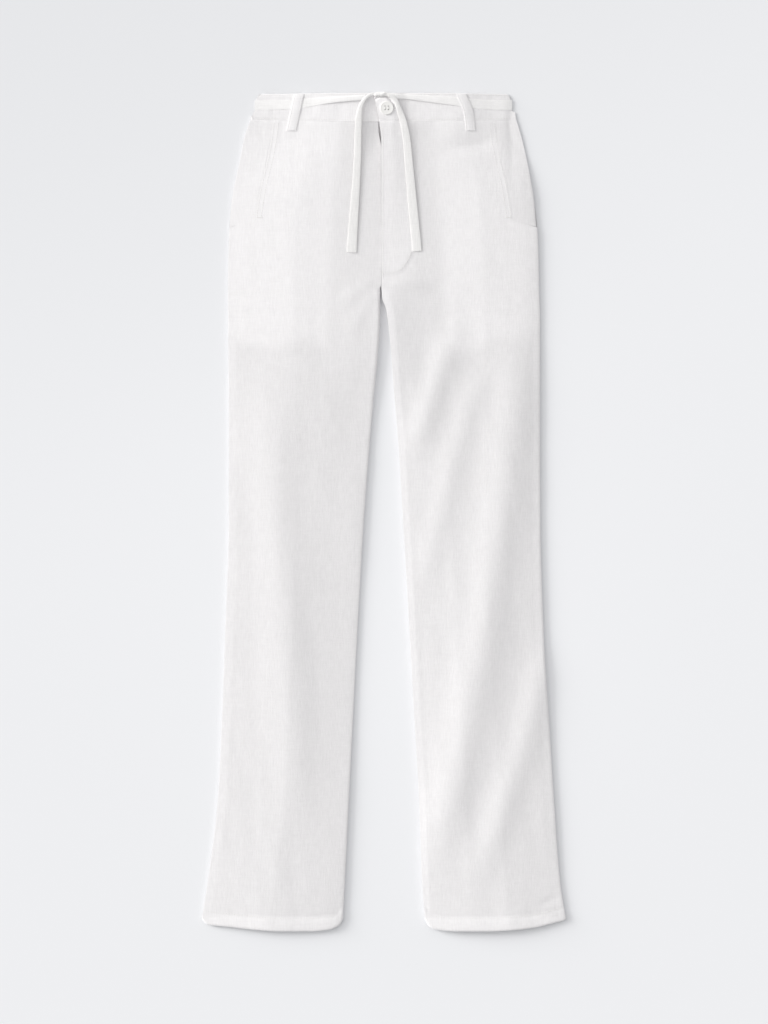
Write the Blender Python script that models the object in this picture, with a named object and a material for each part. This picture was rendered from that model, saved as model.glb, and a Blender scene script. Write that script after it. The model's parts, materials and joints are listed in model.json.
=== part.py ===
"""Chinos laid flat on their back, fronts up, with a tie tape knotted at the waist.

+X is the wearer's left, +Y points to the waist and +Z up from the surface that they lie on.
Sizes and tables are in millimetres, and new_object() turns points into metres.
Every piece of cloth is a closed wall: a grid of points on its outer face, and the same grid
moved in by the cloth's thickness along the face's normals.
"""

import bpy
import numpy as np
from math import cos, pi, radians, sin

MM = 0.001
LEFT, RIGHT = 1, -1          # the wearer's sides, as the sign of X

# Cloth
GAP = 0.3                    # between pieces at a seam, or one lying on another
LINEN = 1.1                  # wall of the panels
BAND = 1.7                   # wall of the waistband, doubled cloth
TAPE = 1.0                   # wall of the tie
LOOP = 1.2                   # wall of a belt loop
FACING = 1.0                 # wall of a pocket facing and of the fly underlap

# Heights of the layers at the waist, from the surface up
LOOP_SEAT = LOOP + GAP                       # underside of the tie below the back
BAND_LOW = LOOP_SEAT + TAPE + GAP            # underside of the back waistband
BAND_HIGH = 8.0                              # upper face of the front waistband
TIE_HIGH = BAND_HIGH + GAP + TAPE            # upper face of the tie on the front
# Past the belt loops these layers come down to the surface, in even steps of X
SIDE_STEP = np.array((120.0, 127.5, 135.0, 142.5, 150.0))
HIGH_SINK = 3.0                              # how far the front's layers come down
LOW_SINK = LOOP_SEAT                         # how far the back's do

# Main places along the body
WAIST_SEAM = 496.0           # seam between waistband and panels, at the centre
WAIST_SEAM_RISE = 3.0        # how much higher that seam runs at the sides
WAIST_HALF = 167.0
WAIST_TOP = 532.3            # top edge of the waistband, at the centre
WAIST_TOP_DROP = 1.5         # how much lower it runs at the sides
CENTRE = -3.6                # centre front and centre back seam
CROTCH = 287.7
CUFF = -515.0                # hem at the seams
EDGE_RADIUS = 4.0            # how far in the cloth rolls over at a seam


def table(columns, *rows):
    """Rows of numbers as one array for each named column."""
    return dict(zip(columns.split(), np.array(rows, float).T))


# Side seams and inseams of the two legs, a row for each section
OUTLINE = table(
    "y left_side left_inner right_inner right_side",
    (497.0, 167.6, CENTRE, CENTRE, -168.9),
    (473.0, 175.3, CENTRE, CENTRE, -177.8),
    (447.0, 181.6, CENTRE, CENTRE, -182.9),
    (397.0, 190.5, CENTRE, CENTRE, -193.0),
    (346.0, 195.6, CENTRE, CENTRE, -196.8),
    (CROTCH, 197.0, CENTRE + 0.1, CENTRE - 0.1, -198.1),
    (284.0, 197.1, -1.4, -5.6, -198.1),
    (279.0, 197.2, 0.0, -6.4, -198.0),
    (244.0, 198.1, 3.8, -6.6, -197.9),
    (194.0, 198.1, 6.4, -10.2, -197.4),
    (92.0, 198.1, 17.8, -17.8, -196.9),
    (-10.0, 198.6, 24.1, -25.4, -197.0),
    (-162.0, 203.2, 33.0, -34.3, -201.9),
    (-264.0, 209.6, 38.7, -39.4, -205.7),
    (-365.0, 215.9, 44.5, -44.5, -211.0),
    (-467.0, 223.5, 48.3, -49.5, -223.5),
    (-515.0, 231.1, 52.1, -52.1, -231.1),
)

# Upper face of the fronts and the height of the seam at their edge
LEVELS = table(
    "y front seam",
    (497.0, 7.7, 3.0),
    (470.0, 7.6, 2.8),
    (447.0, 7.6, 2.3),
    (420.0, 7.5, 1.95),
    (350.0, 7.4, 1.75),
    (100.0, 7.3, 1.7),
    (-200.0, 7.2, 1.7),
    (-480.0, 7.3, 1.8),
    (-532.0, 7.3, 1.8),
)
# How much lower a front lies at its edges, how far in that reaches, and how sharply it sets in
SIDE_FALL = table("side depth reach power", (LEFT, 3.8, 66.0, 2.1), (RIGHT, 3.8, 78.0, 1.2))
INSEAM_FALL = table("side depth reach power", (LEFT, 3.8, 62.0, 1.3), (RIGHT, 3.8, 62.0, 1.8))
INSEAM_FALL_FROM = 170.0     # the inseams' fall sets in from the crotch down to here

# Hem of each leg, from the side seam (0) to the inseam (1)
HEM = table(
    "across left right",
    (0.000, -516.0, -515.5),
    (0.010, -517.5, -519.0),
    (0.040, -519.0, -523.0),
    (0.100, -521.5, -524.5),
    (0.200, -526.0, -526.0),
    (0.350, -529.5, -529.0),
    (0.550, -531.5, -531.5),
    (0.780, -531.5, -531.5),
    (0.900, -529.8, -529.5),
    (0.965, -526.5, -525.0),
    (0.990, -521.0, -520.0),
    (1.000, -517.0, -515.5),
)

# Creases of the fronts: a curve from start by mid to end, the half width of its soft
# cross-section and its height, above the cloth or, if negative, below it
FOLDS = table(
    "side start_x start_y mid_x mid_y end_x end_y half_width height",
    # wearer's left leg
    (LEFT, 169.0, 262.0, 128.0, -110.0, 50.0, -508.0, 26.0, 3.3),
    (LEFT, 208.0, -140.0, 166.0, -302.0, 96.0, -500.0, 20.0, 1.9),
    (LEFT, 90.0, 250.0, 68.0, 155.0, 42.0, 60.0, 17.0, 2.0),
    (LEFT, 130.0, 190.0, 88.0, 65.0, 42.0, -140.0, 16.0, 1.2),
    (LEFT, 0.0, 318.0, 7.0, 232.0, 22.0, 95.0, 30.0, 3.0),
    (LEFT, -6.0, 290.0, 30.0, 292.0, 70.0, 284.0, 11.0, 1.2),
    (LEFT, 58.0, 458.0, 110.0, 466.0, 146.0, 474.0, 9.0, -1.1),
    # wearer's right leg
    (RIGHT, -154.0, 210.0, -127.0, -110.0, -104.0, -430.0, 26.0, 2.0),
)
FOLD_SAMPLES = 25
FOLD_FADE = 0.12             # each end fades out over this share of a crease's length ...
FOLD_FADE_WIDTHS = 2.5       # ... and this many of its half widths
LOWEST_FRONT = LINEN + GAP + LINEN + GAP     # where a front's upper face lies right on the back

# Slant pocket: its opening, and the foot where the front returns to the side seam
POCKET_MOUTH = table(
    "y left right",
    (497.0, 141.0, -141.0),
    (475.0, 143.5, -143.5),
    (440.0, 150.2, -150.2),
    (416.5, 156.0, -156.2),
    (378.5, 162.4, -162.6),
)
POCKET_FOOT = 371.4
POCKET_FOOT_RUN = 9.4        # the mouth's foot slopes down this much to the side seam
FACING_DROP = 0.5            # the facing lies this much below the front's edge

# The fly: the left front lies over the right one
FLY_WIDTH = 39.2             # from the centre to the stitched line of the fly
FLY_STEP = 8.0               # the fly's cloth thins out over this much past that line
FLY_FOOT = 304.2             # where that line reaches the centre, below its round corner
FLY_CORNER = 29.0            # height of the round corner
FLY_RAISE = 0.5              # the doubled cloth of the fly
OVERLAP_RAISE = 2.2          # the tab and the fly's top lie on the underlap
SLIT = table("y width", (495.0, 0.8), (489.0, 1.6), (482.0, 2.4), (476.0, 1.9), (466.0, 0.0))


def smooth(at, stations, values):
    """A monotone cubic through the stations, held level beyond both ends."""
    order = np.argsort(stations)
    station, value = stations[order], values[order]
    step = np.diff(station)
    slope = np.diff(value) / step
    before, after = slope[:-1], slope[1:]
    turning = before * after <= 0
    total = np.where(turning, 1.0, before + after)
    inner = np.where(turning, 0.0, 2 * before * after / total)
    tangent = np.concatenate(([slope[0]], inner, [slope[-1]]))
    at = np.clip(at, station[0], station[-1])
    i = np.clip(np.searchsorted(station, at) - 1, 0, len(step) - 1)
    t = (at - station[i]) / step[i]
    rise = value[i] * (2 * t**3 - 3 * t**2 + 1) + value[i + 1] * (3 * t**2 - 2 * t**3)
    return rise + step[i] * (tangent[i] * (t**3 - 2 * t**2 + t) + tangent[i + 1] * (t**3 - t**2))


def ramp(value, start, end):
    """0 up to start and 1 from end, with a soft step between them."""
    t = np.clip((value - start) / (end - start), 0, 1)
    return t * t * (3 - 2 * t)


def side_name(side):
    return "left" if side == LEFT else "right"


def seams(side, y):
    """X of the side seam and of the inseam, or the centre above the crotch."""
    name = side_name(side)
    outer = smooth(y, OUTLINE["y"], OUTLINE[name + "_side"])
    inner = smooth(y, OUTLINE["y"], OUTLINE[name + "_inner"])
    return outer, inner


def waist_seam(x):
    return WAIST_SEAM + WAIST_SEAM_RISE * (x / WAIST_HALF)**2


def rolled(distance):
    """How far the cloth has risen from a seam, as a quarter ellipse: 0 at it, 1 from the radius in."""
    short = 1 - np.clip(distance / EDGE_RADIUS, 0, 1)
    return np.sqrt(1 - short**2)


def fold_curve(fold):
    """Points on a crease: a parabola that passes through its middle point at half its length."""
    t = np.linspace(0, 1, FOLD_SAMPLES)
    bend_x = 2 * fold["mid_x"] - (fold["start_x"] + fold["end_x"]) / 2
    bend_y = 2 * fold["mid_y"] - (fold["start_y"] + fold["end_y"]) / 2
    x = (1 - t)**2 * fold["start_x"] + 2 * t * (1 - t) * bend_x + t**2 * fold["end_x"]
    y = (1 - t)**2 * fold["start_y"] + 2 * t * (1 - t) * bend_y + t**2 * fold["end_y"]
    return x, y


def crease(fold, x, y):
    """Height that one fold adds at a place on a front."""
    curve_x, curve_y = fold_curve(fold)
    nearest_square = np.full(np.shape(x), np.inf)
    along = np.zeros(np.shape(x))
    for k in range(FOLD_SAMPLES - 1):
        step_x, step_y = curve_x[k + 1] - curve_x[k], curve_y[k + 1] - curve_y[k]
        share = ((x - curve_x[k]) * step_x + (y - curve_y[k]) * step_y) / (step_x**2 + step_y**2)
        share = np.clip(share, 0, 1)
        square = (x - curve_x[k] - share * step_x)**2 + (y - curve_y[k] - share * step_y)**2
        closer = square < nearest_square
        nearest_square = np.where(closer, square, nearest_square)
        along = np.where(closer, (k + share) / (FOLD_SAMPLES - 1), along)
    length = np.hypot(np.diff(curve_x), np.diff(curve_y)).sum()
    fade = FOLD_FADE + FOLD_FADE_WIDTHS * fold["half_width"] / length
    strength = fold["height"] * ramp(along, 0, fade) * ramp(1 - along, 0, fade)
    return strength * np.exp(-nearest_square / fold["half_width"]**2)


def creases(side, x, y):
    """Height that all folds of one side's front add at a place."""
    height = np.zeros(np.shape(x))
    for i in np.flatnonzero(FOLDS["side"] == side):
        height = height + crease({name: column[i] for name, column in FOLDS.items()}, x, y)
    return height


def fly_height(x, y):
    """How far the fly and its overlap lift the left front."""
    share = np.clip((x - CENTRE) / FLY_WIDTH, 0, 1)
    inside = 1 - ramp(x - CENTRE, FLY_WIDTH - 1, FLY_WIDTH + FLY_STEP - 1)
    above_foot = ramp(y, FLY_FOOT + FLY_CORNER * share**4 - 5, FLY_FOOT + FLY_CORNER * share**4)
    near_edge = 1 - ramp(x, 12, 40)
    near_waist = ramp(y, 330, 490)
    return FLY_RAISE * inside * above_foot + OVERLAP_RAISE * near_edge * near_waist


def front_top(side, x, y):
    """Upper face of a front where it isn't rolled over at a seam."""
    height = smooth(y, LEVELS["y"], LEVELS["front"]) + creases(side, x, y)
    if side == LEFT:
        height = height + fly_height(x, y)
    return np.maximum(height, LOWEST_FRONT)


def sink(x):
    """How far the layers at the waist have come down: 0 between the belt loops, 1 at the sides."""
    return ramp(np.abs(x), SIDE_STEP[0], SIDE_STEP[-1])


def edge_fall(falls, side, distance):
    row = list(falls["side"]).index(side)
    near = 1 - np.clip(distance / falls["reach"][row], 0, 1)
    return falls["depth"][row] * near**falls["power"][row]


def front_face(side, x, y, from_side=None, from_inner=None):
    """Upper face of a front at x and y, rolled over at the side seam and the inseam."""
    outer, inner = seams(side, y)
    from_side = side * (outer - x) if from_side is None else from_side
    from_inner = side * (x - inner) if from_inner is None else from_inner
    seam = smooth(y, LEVELS["y"], LEVELS["seam"]) + GAP / 2
    legs_apart = 1 - ramp(y, CROTCH - 8, CROTCH + 1)
    rise = rolled(from_side) * (1 - legs_apart * (1 - rolled(from_inner)))
    below_band = 1 - ramp(y, 400, WAIST_SEAM)
    below_crotch = 1 - ramp(y, INSEAM_FALL_FROM, CROTCH)
    fall = below_band * edge_fall(SIDE_FALL, side, from_side) + (1 - below_band) * HIGH_SINK * sink(x)
    fall = fall + below_crotch * edge_fall(INSEAM_FALL, side, from_inner)
    return seam + (front_top(side, x, y) - fall - seam) * rise


def back_rise(x, y):
    """The back lies on the surface, and climbs to the waistband at its top."""
    return (BAND_LOW - LOW_SINK * sink(x)) * ramp(y, 425, 484)


def back_face(side, x, y, from_side, from_inner):
    """Underside of a back: flat, and turned up at its edges."""
    seam = smooth(y, LEVELS["y"], LEVELS["seam"]) - GAP / 2
    legs_apart = 1 - ramp(y, CROTCH - 8, CROTCH + 1)
    rise = rolled(from_side) * (1 - legs_apart * (1 - rolled(from_inner)))
    return seam + (back_rise(x, y) - seam) * rise


TAB_STEP = (12.0, 16.5, 21.0, 25.5, 30.0)    # X where the tab comes down from its other end


def band_top(side, x):
    """Upper face of the waistband, raised where the left half's tab lies on the right half."""
    raised = OVERLAP_RAISE * (1 - ramp(x, TAB_STEP[0], TAB_STEP[-1])) if side == LEFT else 0
    return BAND_HIGH - HIGH_SINK * sink(x) + raised


# Grids of points and the walls made from them

def columns(middle):
    """Distances in from the first edge and out from the last one, closer where the cloth rolls."""
    edge = EDGE_RADIUS * (1 - np.cos(np.radians((0, 30, 60, 90))))
    share = np.linspace(0, 1, middle + 1)[1:-1]
    return edge, share


def across(start, end, middle):
    """X from a row's start to its end, and each point's share of the way."""
    edge, share = columns(middle)
    way = np.sign(end - start)
    first, last = start + way * edge[-1], end - way * edge[-1]
    x = np.concatenate((start + way * edge, first + (last - first) * share, end - way * edge[::-1]))
    return x, (x - start) / (end - start)


def hip_rows(count):
    return np.linspace(WAIST_SEAM, 296.0, count)


def body_rows(count_hip, count_leg):
    """Y of the rows of a panel, from the waist seam to the hem, closer at the crotch."""
    hip = hip_rows(count_hip)
    crotch = (CROTCH + 0.5, 284.0, 279.0, 270.0)
    leg = np.linspace(252.0, -497.0, count_leg)
    return np.concatenate((hip, crotch, leg, (-507.0, CUFF)))


def panel_grid(side, rows, middle, face, start_at, hem_lift=0.0, end_shift=None):
    """Points of a panel's outer face: a row at each y, from the side to the inseam or centre."""
    grid = []
    name = side_name(side)
    for y in rows:
        outer, inner = seams(side, np.array(y))
        start = start_at(side, y, outer)
        end = inner + (0 if end_shift is None else end_shift(y)) + side * GAP / 2
        x, share = across(start, end, middle)
        at_waist = ramp(y, WAIST_SEAM - 40, WAIST_SEAM)
        at_hem = 1 - ramp(y, CUFF, CUFF + 70)
        hem = smooth(share, HEM["across"], HEM[name]) + hem_lift
        bent = y + at_waist * (waist_seam(x) - GAP - WAIST_SEAM) + at_hem * (hem - CUFF)
        z = face(side, x, bent, np.abs(outer - x), np.abs(x - end))
        grid.append(np.stack((x, bent, z), axis=1))
    return np.array(grid)


def normals(grid):
    across_rows = np.gradient(grid, axis=1)
    down_columns = np.gradient(grid, axis=0)
    normal = np.cross(across_rows, down_columns)
    return normal / np.linalg.norm(normal, axis=-1, keepdims=True)


def wall(grid, thickness, outward, square=()):
    """Vertices and faces of a closed wall behind the grid.

    outward is the side that the grid's second column faces at its middle row. square lists
    (edge, axis): along that edge of the grid the inner face keeps the outer one's coordinate.
    """
    normal = normals(grid)
    middle = normal[len(grid) // 2, 1]
    if np.dot(middle, outward) < 0:
        normal = -normal
    inner = grid - normal * thickness
    edges = {
        "first_row": (0, slice(None)), "last_row": (-1, slice(None)),
        "first_column": (slice(None), 0), "last_column": (slice(None), -1),
    }
    for edge, axis in square:
        place = edges[edge]
        inner[place + ("xyz".index(axis),)] = grid[place + ("xyz".index(axis),)]
    rows, cols = grid.shape[:2]
    index = np.arange(rows * cols).reshape(rows, cols)
    under = index + rows * cols
    faces = []
    for layer, turned in ((index, False), (under, True)):
        for i in range(rows - 1):
            for j in range(cols - 1):
                quad = (layer[i, j], layer[i, j + 1], layer[i + 1, j + 1], layer[i + 1, j])
                faces.append(quad[::-1] if turned else quad)
    ring = list(index[0, :]) + list(index[1:, -1]) + list(index[-1, -2::-1]) + list(index[-2:0:-1, 0])
    below = [i + rows * cols for i in ring]
    for k in range(len(ring)):
        n = (k + 1) % len(ring)
        faces.append((ring[n], ring[k], below[k], below[n]))
    points = np.concatenate((grid.reshape(-1, 3), inner.reshape(-1, 3)))
    return points, faces


def enclosed_volume(points, faces):
    total = 0.0
    for face in faces:
        a = points[face[0]]
        for k in range(1, len(face) - 1):
            total += np.dot(a, np.cross(points[face[k]], points[face[k + 1]]))
    return total / 6


def new_object(name, points, faces, material, sharp=50):
    """A mesh object in metres, its faces pointing out."""
    if enclosed_volume(points, faces) < 0:
        faces = [face[::-1] for face in faces]
    mesh = bpy.data.meshes.new(name)
    mesh.from_pydata([tuple(point * MM) for point in points], [], [tuple(map(int, f)) for f in faces])
    mesh.validate()
    mesh.shade_smooth()
    mesh.set_sharp_from_angle(angle=radians(sharp))
    mesh.materials.append(material)
    obj = bpy.data.objects.new(name, mesh)
    bpy.context.collection.objects.link(obj)
    return obj


def finish(name, colour, roughness):
    material = bpy.data.materials.new(name)
    material.use_nodes = True
    shader = material.node_tree.nodes["Principled BSDF"]
    shader.inputs["Base Color"].default_value = (*colour, 1)
    shader.inputs["Roughness"].default_value = roughness
    shader.inputs["Metallic"].default_value = 0.0
    return material


# Pieces

def from_side_seam(side, y, outer):
    return outer


def from_pocket_mouth(side, y, outer):
    """A front starts at the pocket's mouth down to its foot, and below it at the side seam."""
    mouth = smooth(np.array(y), POCKET_MOUTH["y"], POCKET_MOUTH[side_name(side)])
    return mouth if y >= POCKET_FOOT else outer


def slit(y):
    """The right front stands back from the left one below the tab."""
    return -float(smooth(np.array(y), SLIT["y"], SLIT["width"]))


FRONT_HIP_ROWS = 11


def make_fronts(linen):
    for side, middle, leg in ((LEFT, 21, 24), (RIGHT, 13, 19)):
        foot = (POCKET_FOOT, POCKET_FOOT - POCKET_FOOT_RUN)
        rows = np.array(sorted(set(body_rows(FRONT_HIP_ROWS, leg)) | set(foot), reverse=True))
        shift = slit if side == RIGHT else None
        grid = panel_grid(side, rows, middle, front_face, from_pocket_mouth, end_shift=shift)
        square = (("first_row", "y"), ("last_row", "y"), ("first_column", "z"), ("last_column", "z"))
        points, faces = wall(grid, LINEN, (0, 0, 1), square)
        cut_square(points, grid, LINEN, CROTCH, POCKET_FOOT)
        new_object("front_" + side_name(side), points, faces, linen)


def cut_square(points, grid, drop, centre_from, side_from):
    """Above the crotch and the pocket's foot a panel's edges are cut straight down."""
    rows, cols = grid.shape[:2]
    inner = points[rows * cols:].reshape(rows, cols, 3)
    for i in range(rows):
        y = grid[i, -1, 1]
        if y > centre_from:
            inner[i, -1] = grid[i, -1] - (0, 0, drop)
        if y > side_from:
            inner[i, 0] = grid[i, 0] - (0, 0, drop)
    points[rows * cols:] = inner.reshape(-1, 3)


def make_backs(linen):
    for side in (LEFT, RIGHT):
        rows = body_rows(8, 13)
        grid = panel_grid(side, rows, 5, back_face, from_side_seam, hem_lift=0.8)
        square = (("first_row", "y"), ("last_row", "y"), ("first_column", "z"), ("last_column", "z"))
        points, faces = wall(grid, LINEN, (0, 0, -1), square)
        cut_square(points, grid, -LINEN, CROTCH, np.inf)
        new_object("back_" + side_name(side), points, faces, linen)


def make_pocket_facings(linen):
    """The side piece behind the pocket's mouth, a step below the front's edge."""
    for side in (LEFT, RIGHT):
        name = side_name(side)
        grid = []
        rows = hip_rows(FRONT_HIP_ROWS)
        foot = POCKET_FOOT + 2 * GAP
        for y in np.append(rows[rows > foot], foot):
            outer = seams(side, np.array(y))[0]
            mouth = smooth(np.array(y), POCKET_MOUTH["y"], POCKET_MOUTH[name])
            last = mouth + side * GAP
            turn = outer - side * EDGE_RADIUS * (1 - np.cos(np.radians((0, 30, 60, 90))))
            x = np.concatenate((turn, np.linspace(turn[-1], last, 4)[1:]))
            slope = POCKET_FOOT_RUN * (x - last) / (outer - last) * (1 - ramp(y, foot, foot + 30))
            bent = y + ramp(y, WAIST_SEAM - 40, WAIST_SEAM) * (waist_seam(x) - GAP - WAIST_SEAM) - slope
            z = front_face(side, x, bent, np.abs(outer - x)) - FACING_DROP * ramp(np.abs(outer - x), 0, 12)
            grid.append(np.stack((x, bent, z), axis=1))
        square = (("first_row", "y"), ("last_row", "y"), ("first_column", "z"), ("last_column", "x"))
        points, faces = wall(np.array(grid), FACING, (0, 0, 1), square)
        new_object("pocket_facing_" + name, points, faces, linen)


# Half of the waistband, from the seam up: how far out it reaches on each side
BAND_ROWS = table(
    "share left right",
    (0.00, 167.3, -167.6),
    (0.27, 167.0, -166.6),
    (0.35, 162.2, -164.2),
    (0.80, 160.6, -162.0),
    (0.95, 158.6, -160.0),
    (1.00, 156.8, -158.6),
)
TAB_END = table("share x", (0.0, -5.1), (0.30, -8.0), (0.60, -10.2), (0.85, -11.4), (1.0, -10.4))
BAND_UNDERLAP = 8.0          # end of the right half, below the tab
TURN_STEPS = 5


def strip_round(front_x, side_x, back_x, high, low):
    """X and Z of a strip that runs out over the front, turns at the side and comes back below."""
    radius = (high - HIGH_SINK - low + LOW_SINK) / 2
    way = np.sign(side_x)
    turn = side_x - way * radius
    angle = np.linspace(0, pi, TURN_STEPS + 2)
    turn_x = turn + way * radius * np.sin(angle)
    turn_z = low - LOW_SINK + radius + radius * np.cos(angle)
    x = np.concatenate((front_x, turn_x, back_x))
    z = np.concatenate((high - HIGH_SINK * sink(front_x), turn_z, low - LOW_SINK * sink(back_x)))
    return x, z


def make_waistband(linen):
    for side in (LEFT, RIGHT):
        name = side_name(side)
        grid = []
        for k, share in enumerate(BAND_ROWS["share"]):
            side_x = BAND_ROWS[name][k]
            front_x = np.concatenate((np.linspace(BAND_UNDERLAP, -108, 9), -SIDE_STEP))
            if side == LEFT:
                tab_end = float(smooth(share, TAB_END["share"], TAB_END["x"]))
                front_x = np.concatenate(([tab_end, 4.0], TAB_STEP, np.linspace(42, 108, 5), SIDE_STEP))
            back_x = np.concatenate((side * SIDE_STEP[::-1], np.linspace(side * 100, CENTRE + side * GAP / 2, 4)))
            x, z = strip_round(front_x, side_x, back_x, BAND_HIGH, BAND_LOW)
            z[:len(front_x)] = band_top(side, front_x)
            low = waist_seam(x)
            high = WAIST_TOP - WAIST_TOP_DROP * (x / WAIST_HALF)**2
            grid.append(np.stack((x, low + (high - low) * share, z), axis=1))
        square = (("first_row", "y"), ("last_row", "y"), ("last_column", "x"))
        points, faces = wall(np.array(grid), BAND, (0, 0, 1), square)
        new_object("waistband_" + name, points, faces, linen)


def make_fly_underlap(linen):
    """A strip on the right front's centre edge, below the left front."""
    grid = []
    for y in np.linspace(WAIST_SEAM - 1, FLY_FOOT + 14, 10):
        x = np.linspace(CENTRE + 0.5, CENTRE + 31, 4)
        over = front_top(LEFT, x, np.full(4, y)) - LINEN - GAP - 0.3
        level = np.minimum(over, smooth(np.array(y), LEVELS["y"], LEVELS["front"]) - 0.3)
        grid.append(np.stack((x, np.full(4, y), level), axis=1))
    points, faces = wall(np.array(grid), FACING, (0, 0, 1), (("first_column", "x"),))
    new_object("fly_underlap", points, faces, linen)


# Belt loops: centre at the waistband's top and at the loop's foot, below the seam
LOOP_WIDTH = 12.5
LOOP_TOP = 531.0
LOOP_FOOT = 484.6
LOOP_PLACES = (
    ("belt_loop_front_left", 1, 101.0, 109.5),
    ("belt_loop_front_right", 1, -112.0, -117.8),
    ("belt_loop_back_left", -1, 92.0, 92.0),
    ("belt_loop_back_centre", -1, -3.6, -3.6),
    ("belt_loop_back_right", -1, -99.0, -99.0),
)
# the loop's rise over the tie, from its top (0) to its foot (1)
LOOP_ARC = table(
    "along rise",
    (0.00, 0.25), (0.05, 0.75), (0.09, 1.05), (0.20, 1.05), (0.34, 1.05),
    (0.46, 1.0), (0.58, 0.45), (0.70, 0.0), (0.85, 0.0), (1.00, 0.0),
)


def make_belt_loops(linen):
    over = GAP + TAPE
    for name, up, top_x, foot_x in LOOP_PLACES:
        grid = []
        for along, rise in zip(LOOP_ARC["along"], LOOP_ARC["rise"]):
            middle = top_x + (foot_x - top_x) * along
            y = LOOP_TOP + (LOOP_FOOT - LOOP_TOP) * along
            lift = GAP + LOOP + rise * over
            z = BAND_HIGH + lift if up > 0 else BAND_LOW - lift
            x = middle + LOOP_WIDTH * np.array((-0.5, 0, 0.5))
            grid.append(np.stack((x, np.full(3, y), np.full(3, z)), axis=1))
        points, faces = wall(np.array(grid), LOOP, (0, 0, up))
        new_object(name, points, faces, linen)


# The tie's run on the front, from the knot out to the side: its lower edge and its width
TIE_RUN_LEFT = table(
    "x low width",
    (14.0, 524.6, 6.0), (25.0, 524.4, 6.0), (46.0, 522.0, 7.5), (66.0, 519.4, 9.0),
    (86.0, 516.8, 10.5), (105.0, 514.2, 11.5), (130.0, 511.4, 12.3), (154.0, 511.0, 12.5),
)
TIE_RUN_RIGHT = table(
    "x low width",
    (-24.0, 523.6, 6.5), (-35.0, 522.4, 6.5), (-56.0, 520.6, 7.5), (-76.0, 518.2, 9.0),
    (-96.0, 514.6, 11.0), (-115.0, 512.2, 12.0), (-135.0, 511.2, 12.4), (-154.0, 511.0, 12.5),
)
TIE_SIDE = {LEFT: 163.6, RIGHT: -165.8}
TIE_BACK_END = 75.0          # where the front runs meet the back run, below the waistband


def make_tie_waist(tape):
    for side, run in ((LEFT, TIE_RUN_LEFT), (RIGHT, TIE_RUN_RIGHT)):
        stations = np.abs(run["x"])
        inner = stations[stations < SIDE_STEP[0]]
        if side == LEFT:
            inner = np.concatenate((inner[:1], TAB_STEP[1:], inner[2:]))
        front_x = side * np.concatenate((inner, SIDE_STEP, stations[-1:]))
        back_x = side * np.append(SIDE_STEP[::-1], TIE_BACK_END)
        x, z = strip_round(front_x, TIE_SIDE[side], back_x, TIE_HIGH, LOOP_SEAT)
        low = smooth(np.abs(x), stations, run["low"])
        width = smooth(np.abs(x), stations, run["width"])
        past = len(front_x)
        low[past:], width[past:] = run["low"][-1], run["width"][-1]
        z[:past] = band_top(side, front_x) + GAP + TAPE
        grid = np.array([np.stack((x, low + width * share, z), axis=1) for share in (0, 0.5, 1)])
        points, faces = wall(grid, TAPE, (0, 0, 1), (("last_column", "x"),))
        new_object("tie_waist_" + side_name(side), points, faces, tape)
    reach = TIE_BACK_END - GAP
    x = np.linspace(-reach, reach, 5)
    rows = [np.stack((x, np.full(5, 511.0 + 12.5 * s), np.full(5, LOOP_SEAT)), axis=1) for s in (0, 0.5, 1)]
    points, faces = wall(np.array(rows), TAPE, (0, 0, -1))
    new_object("tie_waist_back", points, faces, tape)


# The knot: a flattened lump of wrapped tape, with a groove between its turns
KNOT_CENTRE = np.array((-3.5, 528.8, 14.2))
KNOT_HALF = np.array((7.4, 5.2, 3.4))
KNOT_GROOVE = 0.16
KNOT_RINGS, KNOT_SEGMENTS = 11, 16


def make_knot(tape):
    points = [KNOT_CENTRE - (KNOT_HALF[0], 0, 0)]
    for ring in range(1, KNOT_RINGS):
        lift = -cos(pi * ring / KNOT_RINGS)
        reach = sin(pi * ring / KNOT_RINGS)**0.6
        for segment in range(KNOT_SEGMENTS):
            angle = 2 * pi * segment / KNOT_SEGMENTS
            turn = 1 - KNOT_GROOVE * np.exp(-((lift - 0.35 * cos(angle)) / 0.16)**2)
            offset = np.array((lift, reach * turn * cos(angle), reach * turn * sin(angle)))
            points.append(KNOT_CENTRE + KNOT_HALF * offset)
    points.append(KNOT_CENTRE + (KNOT_HALF[0], 0, 0))
    faces = []
    last = len(points) - 1
    for s in range(KNOT_SEGMENTS):
        n = (s + 1) % KNOT_SEGMENTS
        faces.append((0, 1 + n, 1 + s))
        for ring in range(KNOT_RINGS - 2):
            a = 1 + ring * KNOT_SEGMENTS
            b = a + KNOT_SEGMENTS
            faces.append((a + s, a + n, b + n, b + s))
        a = 1 + (KNOT_RINGS - 2) * KNOT_SEGMENTS
        faces.append((a + s, a + n, last))
    new_object("tie_knot", np.array(points), faces, tape, sharp=80)


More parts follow.
